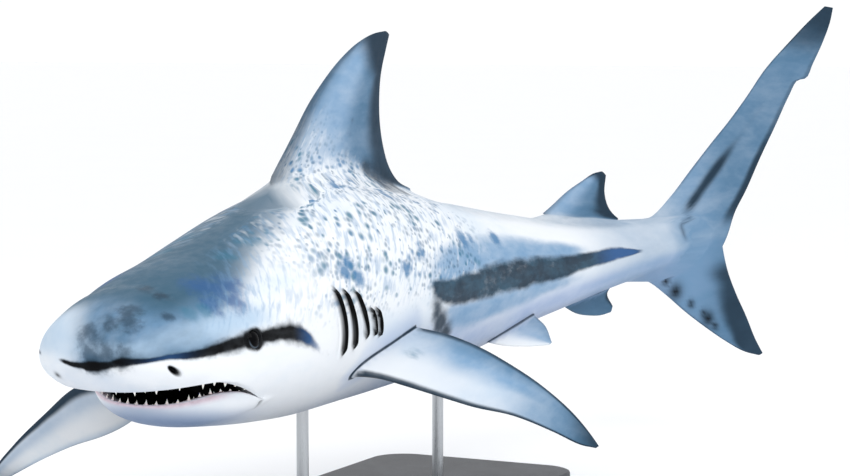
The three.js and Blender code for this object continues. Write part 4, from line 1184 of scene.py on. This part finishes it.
def skin_material(tones, groups):
    """Layers from the pale ground up: painted shade below, blue-grey head with painted shade on its
    crown and ridge, a painted highlight on the snout, haze, fins, strokes and specks, dark bands, dark
    margins with the snout's painted shadow on the right pectoral, painted shade along sharp fin roots,
    gums and painted shade in every recess."""
    material, graph, shader = new_material("shark_skin", 0.42, Specular_IOR_Level=0.06)
    space = graph.attribute("straight", "Vector")
    drawn = graph.mapping(space, Scale=(0.42, 1.0, 1.0))
    flat = graph.mapping(graph.attribute("flat", "Vector"), Scale=(0.62, 1.0, 1.0))

    def cloud(scale, least, most, low=0.3, high=0.7):
        """Cloudy patches between two levels."""
        value = graph.group(groups["mottle"], Vector=drawn, Scale=scale, Low=low, High=high)
        return graph.range(value, 0, 1, least, most, "LINEAR")

    def broken(mask, scale, breakup, softness=0.48, vector=drawn):
        """A mask with a broken edge."""
        return graph.group(groups["edge"], Vector=vector, Mask=graph.attribute(mask), Scale=scale,
                           Breakup=breakup, Softness=softness)

    def strokes(scale, low, high, vector=flat):
        """Fine leaning strokes."""
        return graph.group(groups["stroke"], Vector=vector, Scale=scale, Low=low, High=high)

    def drops(scale, size, stretch, thin):
        """Small drops."""
        return graph.group(groups["specks"], Vector=flat, Scale=scale, Size=size, Stretch=stretch,
                           Thin=thin)

    def over(finish, *masks):
        """Lays a colour over what is there, by the product of its masks."""
        nonlocal colour
        masks = (graph.attribute(mask) if isinstance(mask, str) else mask for mask in masks)
        finish = tones[finish] if isinstance(finish, str) else finish
        colour = graph.mix(graph.times(*masks), colour, finish)

    colour = graph.mix(cloud(7, 0.06, 0.38, 0.44, 0.66), tones["pale"], tones["ice"])
    # painted shade: lilac low on the flanks and belly, grey along the underside and under the jaw
    over("lilac", "shade", cloud(9, 0.55, 0.95))
    over("grey", "keel", 0.7)
    over("sky", broken("haze", 22, 0.9), cloud(16, 0.7, 1.0))
    head = graph.mix(cloud(9, 0.0, 0.6, 0.40, 0.62), tones["steel"], tones["sky"])
    head = graph.mix(cloud(26, 0.0, 0.45, 0.48, 0.70), head, tones["teal_grey"])
    over(head, broken("back", 16, 0.35), cloud(12, 0.86, 1.0))
    # the pale line over the head band, and the painted highlight on the snout's front
    over(graph.mix(0.75, tones["sky"], tones["ice"]), "glow", cloud(18, 0.7, 1.0))
    # painted shade on the crown, over the back's own darker tone
    over("teal_grey", "crown", cloud(16, 0.88, 1.0))
    # painted shade along the back's top line
    over("steel", "ridge", cloud(16, 0.2, 0.5))
    over("slate", broken("blotch", 46, 2.0, 0.48, space), 0.66)
    over("deep", broken("bruise", 44, 1.6, 0.48, space), 0.75)
    over("teal", broken("teal_patch", 40, 1.3, 0.45, space), 0.5)
    over("sky", "fin", cloud(16, 0.75, 1.0))
    over("steel", "blue", cloud(16, 0.7, 0.95))

    over("sky", strokes(150.0, 0.46, 0.66), "stroke", 0.46)
    over("pale", strokes(110.0, 0.50, 0.74, graph.mapping(flat, Location=(3, 1, 2))), "speckle", 0.5)
    drop = graph.mix(cloud(11, 0.0, 1.0, 0.45, 0.55), tones["teal"], tones["bruise_blue"])
    over(drop, drops(70.0, 0.42, (1.1, 1.0, 0.9), 0.32), "speckle", 0.85)
    over("steel", drops(112.0, 0.44, (1.1, 1.0, 0.85), 0.34), "speckle", 0.6)
    over("bruise_blue", broken("spot", 60, 1.3, 0.4), 0.85)
    over("slate", broken("dorsal_smudge", 30, 0.9), 0.85)

    band = graph.mix(cloud(22, 0.0, 0.7, 0.40, 0.68), tones["slate"], tones["teal_grey"])
    band = graph.mix(graph.attribute("band_blue"), band, tones["deep"])
    over(band, broken("band", 34, 1.3, 0.44), 0.985)
    over("slate", broken("soft_band", 44, 1.2, 0.48, space), 0.7)
    over("slate", broken("smudge", 24, 1.1, 0.45), 0.95)
    band = graph.mix(graph.attribute("band_blue"), tones["ink"], tones["deep"])
    over(band, broken("head_band", 40, 0.9, 0.42, space), cloud(36, 0.94, 1.0, 0.3, 0.6))
    # dark fin margins, with the snout's painted shadow on the right pectoral
    over("slate", broken("dusk", 18, 0.35), 0.985)
    # a painted line of shade along the fin roots that stay sharp
    crease_shade = graph.range(graph.attribute("crease"), *CREASE_SHADE_WIDTH, 1.0, 0.0)
    over("slate", crease_shade, cloud(14, 0.8, 0.99, 0.3, 0.6))
    over("ink", "ink")
    over("ink", "pore")
    over(graph.mix(graph.noise(space, 120), tones["gum"], tones["gum_dark"]), "gums")
    # painted shade in the mouth, gill slits, nostrils, eye sockets and the furrow at the mouth's corner
    over("recess_shade_tone", "cavity")
    graph.set(shader.inputs["Base Color"], colour)
    uneven_roughness(graph, shader, graph.noise(space, 55), 0.38, 0.52)
    bump(graph, shader, graph.group(groups["denticles"], Vector=space, Scale=900.0), 0.35, 0.0006)
    return material


# ---- pieces
# rounds of rounding the fins' roots and of evening out the distances from them
FILLET_ROUNDS, EVEN_ROUNDS = 120, 4
# teeth: how far round the arch they reach in degrees, how deep their feet stand and how they lean back
TEETH_ARC, FOOT_RISE, FOOT_DEEP, TOOTH_LEAN, TOOTH_FORWARD = 80, 3.5, 2.5, 0.22, 0.06
# rings of a tooth and of an eye, and the places round each
TOOTH_ROWS, TOOTH_RING, EYE_ROWS, EYE_RING = 9, 12, 34, 48
# each jaw: its arch, the way its teeth point, their breadth, how they taper, and its rows of teeth, as
# scale of the arch, size and shift
JAWS = {
    "teeth_upper": ((UPPER_FRONT, UPPER_HALF, roof), -1.0, 1.0, 0.86,
                    ((0.975, 1.0, 0.0), (0.93, 0.5, 0.5))),
    "teeth_lower": ((LOWER_FRONT, LOWER_HALF, mouth_floor), 1.0, 0.8, 1.5,
                    ((0.945, 1.0, 0.0), (0.90, 0.5, 0.5))),
}


def fin_shells():
    """Every fin's shell by its name."""
    shells = {name: middle_fin(*fin) for name, fin in MIDDLE.items()}
    shells.update({name: paired_fin(name) for name in PAIRED})
    return {**shells, "tail": tail_fin(TAIL_ROWS, TAIL_STEPS)}


def build_skin(tones, groups):
    """The whole skin as one closed mesh: body, fins and tail joined and rounded into each other."""
    things = []
    for name, (vertices, quads, fans, masks) in {"skin": body_shell(), **fin_shells()}.items():
        values = {key: np.zeros(len(vertices)) for key in ("chord", "span", "cavity", "gums")}
        values.update(masks, straight=vertices * MM)
        values.update({"is_" + fin: np.full(len(vertices), float(fin == name)) for fin in FINS})
        things.append(new_object(name, new_mesh(name, place(vertices), quads, fans, values)))
    body = things[0]
    join_shells(body, things[1:])
    mesh = body.data
    a, b = read_edges(mesh)
    fin_keys = ["is_" + fin for fin in FINS]
    values, joined = mend_values(mesh, a, b, ["straight", "chord", "span", "cavity", "gums"] + fin_keys)
    members = np.stack([values[key] for key in fin_keys])
    distances = crease_distances(mesh, members, a, b, joined)
    widths = np.array([width for _, width in FINS.values()])
    fillet(mesh, distances, a, b, widths, FILLET_ROUNDS)
    straight = values["straight"] / MM
    crease = {name: even_out(np.minimum(distance, CREASE_REACH), a, b, EVEN_ROUNDS)
              for name, distance in zip(FINS, distances)}
    marks = markings(straight, dict(zip(FINS, members)), crease, values["chord"], values["span"])
    marks["crease"] = np.minimum(distances[widths == 0].min(0), CREASE_REACH) * MM
    marks["flat"] = unrolled(straight)
    for key, value in marks.items():
        set_values(mesh, key, value)
    for key in ["chord", "span"] + fin_keys:
        mesh.attributes.remove(mesh.attributes[key])
    mesh.polygons.foreach_set("use_smooth", np.ones(len(mesh.polygons), bool))
    mesh.materials.clear()
    mesh.materials.append(skin_material(tones, groups))
    mesh.polygons.foreach_set("material_index", np.zeros(len(mesh.polygons), np.int32))
    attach(body, "root")
    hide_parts(*FLESH_NODES)


def tooth_shape(narrowing):
    """One tooth of unit sizes, its foot at zero and its tip at one: rings x = half (1 - v)^narrowing
    sin a and y = half (1 - v)^0.7 cos a, flatter on the inner face."""
    v = np.linspace(0, 1, TOOTH_ROWS)[:, None] ** 0.9
    a = np.linspace(0, 2 * np.pi, TOOTH_RING, endpoint=False)[None]
    x = 0.5 * np.sin(a) * (1 - v) ** narrowing
    y = 0.5 * np.where(np.cos(a) > 0, 1.0, 0.55) * np.cos(a) * (1 - v) ** 0.7
    return x, y, v


def tooth_row(jaw, row, per_side, width, tall):
    """A row of teeth along a jaw's arch, as (teeth, rings, places, 3). Each tooth's foot is on the gum,
    its width lies along the arch, and it leans a little inwards: place = foot + across x + outward y +
    way z. Every other tooth is shorter, and none fills more than 0.62 of the gap between the lips."""
    arch, way, broad, narrowing, _ = jaw
    scale, size, shift = row
    steps = (np.arange(-per_side, per_side + 1) + shift) / (per_side + 0.5)
    bearing = np.pi / 2 - steps * np.radians(TEETH_ARC)
    folded = np.where(bearing > np.pi / 2, np.pi - bearing, bearing)
    foot = arch_point(*arch, folded, np.full(len(folded), scale))
    foot[:, 1] *= np.sign(np.cos(bearing))
    foot[:, 2] += way * FOOT_RISE
    outward = np.stack([-np.sin(bearing), np.cos(bearing), 0 * bearing], 1)
    across = np.stack([np.cos(bearing), np.sin(bearing), 0 * bearing], 1)
    gap = np.clip(upper_line(foot[:, 0]) - lower_line(np.maximum(foot[:, 0], 132)), 3, 60)
    alternate = np.where(np.arange(len(bearing)) % 2, 0.72, 1.0)
    length = (size * np.minimum(tall, 0.62 * gap) * alternate)[:, None, None]
    breadth = (size * width * (0.55 + 0.45 * np.sin(folded)) * broad)[:, None, None]
    x, y, z = tooth_shape(narrowing)
    y = 0.42 * breadth * y + (TOOTH_FORWARD - TOOTH_LEAN * z) * length
    z = z * length - FOOT_DEEP + 0 * x
    foot, across, outward = (vector[:, None, None] for vector in (foot, across, outward))
    return (foot + across * (x * breadth)[..., None] + outward * y[..., None]
            + np.array([0, 0, way]) * z[..., None])


def build_teeth(name, length, settings, tones):
    """Two close rows of teeth in a jaw, each tooth closed by a fan at its foot and at its tip."""
    jaw = JAWS[name]
    rows = [tooth_row(jaw, row, settings.per_side, settings.width / MM, length / MM) for row in jaw[-1]]
    shells = [closed_shell(rings[:-1], rings[0].mean(0), rings[-1].mean(0))
              for rings in np.concatenate(rows)]
    vertices, quads, fans = (np.concatenate(parts) for parts in zip(*shells))
    starts = np.arange(len(shells)) * len(shells[0][0])
    quads, fans = (faces + np.repeat(starts, len(faces) // len(shells))[:, None]
                   for faces in (quads, fans))
    rise = np.append(np.repeat(np.linspace(0, 1, TOOTH_ROWS)[:-1], TOOTH_RING), [0, 1])
    values = {"rise": np.tile(rise, len(shells)), "straight": vertices * MM}
    mesh = new_mesh(name, place(vertices), quads, fans, values)
    tooth = new_object(name, mesh)
    material, graph, shader = new_material(f"{name}_enamel", 0.22, Coat_Weight=0.4, Coat_Roughness=0.12,
                                           Subsurface_Weight=0.08, Subsurface_Scale=0.004)
    space = graph.attribute("straight", "Vector")
    stain = graph.noise(space, 160)
    root = graph.mix(stain, tones["dentine"], tones["gum"])
    crown = graph.mix(graph.range(stain, 0.3, 0.7, 0, 0.35), tones["enamel"], tones["dentine"])
    colour = graph.mix(graph.range(graph.attribute("rise"), 0.12, 0.42), root, crown)
    graph.set(shader.inputs["Base Color"], colour)
    uneven_roughness(graph, shader, stain, 0.18, 0.3)
    bump(graph, shader, graph.noise(graph.mapping(space, Scale=(1, 1, 0.15)), 700, 2), 0.2, 0.0003)
    mesh.materials.append(material)
    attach(tooth, "root")


def build_eye(name, node, side, radius, tones):
    """An eyeball about the outward line of its socket: a ball whose front, the cornea, swells a little
    more, radius (1 + 0.02 cos^8 of the angle from that line). Its own distances from the line carry the
    pupil and the pale rim."""
    point, normal, _ = near_frame(*EYE_AT)
    centre = point - normal * np.sqrt(EYE_RADIUS ** 2 - EYE_OPENING ** 2)
    up = np.array([0, 0, 1.0]) - normal * normal[2]
    up /= np.linalg.norm(up)
    across = np.cross(up, normal)
    polar = np.linspace(0, np.pi, EYE_ROWS)[1:-1, None]
    round_ = np.linspace(0, 2 * np.pi, EYE_RING, endpoint=False)[None]
    swell = radius * (1 + 0.02 * np.maximum(np.cos(polar), 0) ** 8 - 0.02)
    u, v = (swell * np.sin(polar) * turn for turn in (np.cos(round_), np.sin(round_)))
    w = swell * np.cos(polar) + 0 * round_
    rings = centre + u[..., None] * across + v[..., None] * up + w[..., None] * normal
    vertices, quads, fans = closed_shell(rings, centre + normal * radius, centre - normal * radius)
    vertices = vertices * (1, side, 1)
    values = {"off_axis": np.append(np.hypot(u, v), [0, 0]) * MM, "downward": np.append(-v, [0, 0]) * MM,
              "straight": vertices * MM}
    mesh = new_mesh(name, place(vertices), quads, fans, values)
    eye = new_object(name, mesh)
    material, graph, shader = new_material(f"{name}_eye", 0.08, Specular_IOR_Level=0.05)
    reach = graph.attribute("off_axis")
    fleck = graph.noise(graph.attribute("straight", "Vector"), 420, 4)
    iris = graph.mix(graph.range(fleck, 0.35, 0.65), tones["iris"], tones["pupil"])
    colour = graph.mix(graph.range(reach, 0.0045, 0.0065), tones["pupil"], iris)
    rim = graph.range(reach, 0.0118, 0.0132)
    rim = graph.times(rim, graph.range(graph.attribute("downward"), -0.002, 0.008))
    graph.set(shader.inputs["Base Color"], graph.mix(rim, colour, tones["eye_rim"]))
    uneven_roughness(graph, shader, fleck, 0.05, 0.1)
    mesh.materials.append(material)
    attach(eye, "root")
    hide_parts(node)


def dress_stand(settings, groups):
    """Powder coat on the base and brushed steel on the rods, assigned to the frame's own objects."""
    coat, graph, shader = new_material("powder_coat", 0.55, Coat_Weight=0.05)
    space = graph.node("ShaderNodeTexCoord").outputs["Object"]
    patches = graph.group(groups["mottle"], Vector=space, Scale=9.0, Low=0.35, High=0.65)
    dark = tuple(settings.base_colour) + (1.0,)
    lighter = tuple(min(1.0, 1.35 * c + 0.01) for c in settings.base_colour) + (1.0,)
    graph.set(shader.inputs["Base Color"], graph.mix(patches, dark, lighter))
    grit = graph.noise(space, 900, 2)
    uneven_roughness(graph, shader, grit, 0.48, 0.62)
    bump(graph, shader, grit, 0.5, 0.0005)

    steel, graph, shader = new_material("brushed_steel", 0.3, Metallic=1.0)
    space = graph.node("ShaderNodeTexCoord").outputs["Object"]
    lines = graph.noise(graph.mapping(space, Scale=(1, 1, 0.03)), 900)
    brushed = graph.mix(lines, linear(0.62, 0.64, 0.66), linear(0.78, 0.79, 0.80))
    graph.set(shader.inputs["Base Color"], brushed)
    uneven_roughness(graph, shader, lines, 0.24, 0.4)
    bump(graph, shader, lines, 0.25, 0.0002)
    for name, material in (("stand_base", coat), ("stand_rod_front", steel), ("stand_rod_rear", steel)):
        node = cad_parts[name]
        if not node.material_slots:
            node.data.materials.append(material)
        for slot in node.material_slots:
            slot.material = material


# ---- stage
# camera: sensor in mm; width, focal length and shift in pixels; angles in degrees; distance and aim in m
SENSOR, FRAME_WIDTH, FOCAL_PIXELS, SHIFT_PIXELS = 36.0, 850, 2438.3, (18.62, 39.11)
AZIMUTH, ELEVATION, DISTANCE, AIM = -63.863, 5.705, 4.75, (0.255, 0.020, 0.430)
# area lights: place and side
LIGHTS = {"key": ((-1.2, -2.6, 3.4), 2.4), "fill": ((-3.4, -1.0, 1.4), 2.6),
          "rim": ((2.4, 2.6, 2.6), 2.0)}
LIGHT_AIM, SKY_COLOUR = (0, 0, 0.5), (0.97, 0.98, 1.0, 1)


def build_stage(settings):
    """A wide pale floor, soft area lights and the camera, which looks back along
    (sin a cos e, -cos a cos e, sin e) from its azimuth a and elevation e."""
    scene = bpy.context.scene
    corners = settings.floor_reach * np.array([(-1, -1, 0), (1, -1, 0), (1, 1, 0), (-1, 1, 0)])
    whole = np.array([[0, 1, 2, 3]])
    floor = new_object("floor", new_mesh("floor", corners, whole, np.zeros((0, 3), int), {}))
    material, graph, shader = new_material("pale_floor", 0.6)
    shade = graph.noise(graph.node("ShaderNodeTexCoord").outputs["Object"], 1.5)
    pale = graph.mix(shade, linear(0.98, 0.98, 0.98), linear(0.99, 0.99, 0.99))
    graph.set(shader.inputs["Base Color"], pale)
    floor.data.materials.append(material)

    camera = bpy.data.cameras.new("camera")
    camera.sensor_width = SENSOR
    camera.lens = FOCAL_PIXELS * SENSOR / FRAME_WIDTH
    camera.shift_x, camera.shift_y = (shift / FRAME_WIDTH for shift in SHIFT_PIXELS)
    camera.clip_end = 200
    viewer = new_object("camera", camera)
    a, e = np.radians(AZIMUTH), np.radians(ELEVATION)
    back = Vector((np.sin(a) * np.cos(e), -np.cos(a) * np.cos(e), np.sin(e)))
    viewer.location = Vector(AIM) + back * DISTANCE
    viewer.rotation_euler = back.to_track_quat("Z", "Y").to_euler()
    scene.camera = viewer

    world = bpy.data.worlds.new("studio")
    world.use_nodes = True
    sky = world.node_tree.nodes["Background"]
    sky.inputs["Color"].default_value = SKY_COLOUR
    sky.inputs["Strength"].default_value = settings.sky_strength
    scene.world = world
    scene.view_settings.view_transform = "Standard"
    for name, (position, size) in LIGHTS.items():
        light = bpy.data.lights.new(name, "AREA")
        light.size, light.energy = size, getattr(settings, name + "_power")
        lamp = new_object(name, light)
        lamp.location = position
        lamp.rotation_euler = (Vector(position) - Vector(LIGHT_AIM)).to_track_quat("Z", "Y").to_euler()


# ---- add-on
def colour_property(label, what, default):
    """A colour as seen, with its name and what it is for."""
    return FloatVectorProperty(name=label, description=what, default=default, min=0, max=1, size=3,
                               subtype="COLOR_GAMMA")


def length_property(label, what, default, least, most):
    """A length in metres."""
    return FloatProperty(name=label, description=what, default=default, min=least, max=most,
                         unit="LENGTH", subtype="DISTANCE")


def power_property(label, what, default):
    """A light's power in watts."""
    return FloatProperty(name=label, description=what, default=default, min=0, max=2000, unit="POWER")


class SharkSkinSettings(PropertyGroup):
    """The colours of the skin."""
    pale: colour_property("Pale ground", "Flanks, cheeks and belly", (0.89, 0.90, 0.91))
    ice: colour_property("Ice blue", "Cool tint in the pale ground", (0.72, 0.80, 0.87))
    lilac: colour_property("Lilac shade", "Shade low on the flanks and belly", (0.60, 0.68, 0.81))
    grey: colour_property("Keel grey", "Darkest shade along the belly", (0.47, 0.54, 0.65))
    # also laid as painted shade along the back's top line
    steel: colour_property("Steel blue", "Head, ridge and fins", (0.27, 0.41, 0.52))
    sky: colour_property("Sky blue", "Lighter patches of the head and fins", (0.45, 0.59, 0.72))
    deep: colour_property("Deep blue", "Bruise-like patches on the head", (0.19, 0.34, 0.53))
    # also laid as painted shade on the crown
    teal_grey: colour_property("Teal grey", "Crown of the head", (0.22, 0.35, 0.43))
    # also laid as painted shade along sharp fin roots and as the snout's painted shadow on the right
    # pectoral
    slate: colour_property("Slate", "Bands and dusky fin margins", (0.13, 0.20, 0.26))
    bruise_blue: colour_property("Bruise blue", "Larger drops on the flanks", (0.22, 0.44, 0.61))
    teal: colour_property("Teal", "Small drops over the shoulders", (0.18, 0.42, 0.52))
    ink: colour_property("Ink", "Darkest part of the head band", (0.01, 0.015, 0.025))
    gum: colour_property("Gum", "Gums where the light falls", (0.86, 0.79, 0.83))
    gum_dark: colour_property("Dark gum", "Gums between the teeth", (0.70, 0.58, 0.63))
    # painted shade in the mouth, gill slits, nostrils, eye sockets and furrow
    recess_shade_tone: colour_property("Hollow", "Inside of the mouth, gills and nostrils", (0.01, 0.01, 0.015))


class SharkTeethSettings(PropertyGroup):
    """The teeth of both jaws."""
    per_side: IntProperty(name="Teeth a side", description="Teeth on each side of the middle one",
                          default=11, min=6, max=20)
    upper_length: length_property("Upper length", "Longest upper tooth", 0.016, 0.004, 0.03)
    lower_length: length_property("Lower length", "Longest lower tooth", 0.0095, 0.004, 0.03)
    width: length_property("Width", "Width of the widest tooth", 0.0095, 0.004, 0.03)
    enamel: colour_property("Enamel", "Crown of a tooth", (0.95, 0.95, 0.93))
    dentine: colour_property("Dentine", "Root of a tooth", (0.84, 0.80, 0.74))


class SharkEyeSettings(PropertyGroup):
    """The two eyes."""
    radius: length_property("Radius", "Radius of the eyeball", 0.023, 0.01, 0.03)
    pupil: colour_property("Pupil", "Middle of the eye", (0.01, 0.01, 0.015))
    iris: colour_property("Iris", "Ring round the pupil", (0.015, 0.02, 0.03))
    eye_rim: colour_property("Rim", "Thin pale ring under the eye", (0.30, 0.34, 0.38))


class SharkStandSettings(PropertyGroup):
    """The display stand."""
    base_colour: FloatVectorProperty(name="Base colour", description="Powder coat of the base",
                                     default=(0.028, 0.031, 0.036), min=0, max=1, size=3,
                                     subtype="COLOR")


class SharkStageSettings(PropertyGroup):
    """Floor and studio light."""
    floor_reach: length_property("Floor", "Half the floor's side", 60.0, 5, 200)
    sky_strength: FloatProperty(name="Sky", description="Strength of the even light", default=1.05,
                                min=0, max=5)
    key_power: power_property("Key", "Power of the main light", 48.0)
    fill_power: power_property("Fill", "Power of the light on the head", 10.0)
    rim_power: power_property("Rim", "Power of the light from behind", 6.0)


SETTINGS = {"shark_skin": SharkSkinSettings, "shark_teeth": SharkTeethSettings,
            "shark_eyes": SharkEyeSettings, "shark_stand": SharkStandSettings,
            "shark_stage": SharkStageSettings}
GROUPS = {}


def shared_groups():
    """The shader groups that the materials share, made once."""
    if not GROUPS:
        GROUPS.update(edge=broken_edge_group(), mottle=mottle_group(), specks=speck_group(),
                      stroke=stroke_group(), denticles=denticle_group())
    return GROUPS


def shark_tones(scene):
    """All colours of the skin, teeth and eyes by name, on the shader's own scale."""
    tones = {}
    for settings in (scene.shark_skin, scene.shark_teeth, scene.shark_eyes):
        for label in settings.__annotations__:
            value = getattr(settings, label)
            if hasattr(value, "__len__"):
                tones[label] = linear(*value)
    return tones


class SHARK_OT_stage(Operator):
    """Make the floor, the lights and the camera"""
    bl_idname = "shark.stage"
    bl_label = "Stage"

    def execute(self, context):
        build_stage(context.scene.shark_stage)
        return {"FINISHED"}


class SHARK_OT_skin(Operator):
    """Make the skin of body, fins and tail as one closed surface"""
    bl_idname = "shark.skin"
    bl_label = "Skin"

    def execute(self, context):
        build_skin(shark_tones(context.scene), shared_groups())
        return {"FINISHED"}


class SHARK_OT_teeth(Operator):
    """Make the teeth of both jaws"""
    bl_idname = "shark.teeth"
    bl_label = "Teeth"

    def execute(self, context):
        settings, tones = context.scene.shark_teeth, shark_tones(context.scene)
        build_teeth("teeth_upper", settings.upper_length, settings, tones)
        build_teeth("teeth_lower", settings.lower_length, settings, tones)
        return {"FINISHED"}


class SHARK_OT_eyes(Operator):
    """Make both eyes"""
    bl_idname = "shark.eyes"
    bl_label = "Eyes"

    def execute(self, context):
        radius, tones = context.scene.shark_eyes.radius / MM, shark_tones(context.scene)
        build_eye("left_eye", "eye_left", 1, radius, tones)
        build_eye("right_eye", "eye_right", -1, radius, tones)
        return {"FINISHED"}


class SHARK_OT_stand(Operator):
    """Finish the base and the rods of the stand"""
    bl_idname = "shark.stand"
    bl_label = "Stand"

    def execute(self, context):
        dress_stand(context.scene.shark_stand, shared_groups())
        return {"FINISHED"}


OPERATORS = (SHARK_OT_stage, SHARK_OT_skin, SHARK_OT_teeth, SHARK_OT_eyes, SHARK_OT_stand)


class SHARK_PT_panel(Panel):
    """Lists the pieces of the model with their settings."""
    bl_label = "Bull shark"
    bl_idname = "SHARK_PT_panel"
    bl_space_type = "VIEW_3D"
    bl_region_type = "UI"
    bl_category = "Shark"

    def draw(self, context):
        for operator in OPERATORS:
            box = self.layout.box()
            box.operator(operator.bl_idname)
            settings = getattr(context.scene, operator.bl_idname.replace(".", "_"), None)
            for label in getattr(settings, "__annotations__", ()):
                box.prop(settings, label)


def register():
    """Registers the settings, the operators and the panel."""
    for key, group in SETTINGS.items():
        bpy.utils.register_class(group)
        setattr(bpy.types.Scene, key, PointerProperty(type=group))
    for thing in OPERATORS + (SHARK_PT_panel,):
        bpy.utils.register_class(thing)


def unregister():
    """Takes them away again."""
    for thing in reversed(OPERATORS + (SHARK_PT_panel,)):
        bpy.utils.unregister_class(thing)
    for key, group in SETTINGS.items():
        delattr(bpy.types.Scene, key)
        bpy.utils.unregister_class(group)


def main():
    """Builds every piece in order."""
    register()
    bpy.ops.shark.stage()
    bpy.ops.shark.skin()
    bpy.ops.shark.teeth()
    bpy.ops.shark.eyes()
    bpy.ops.shark.stand()


if __name__ == "__main__":
    main()
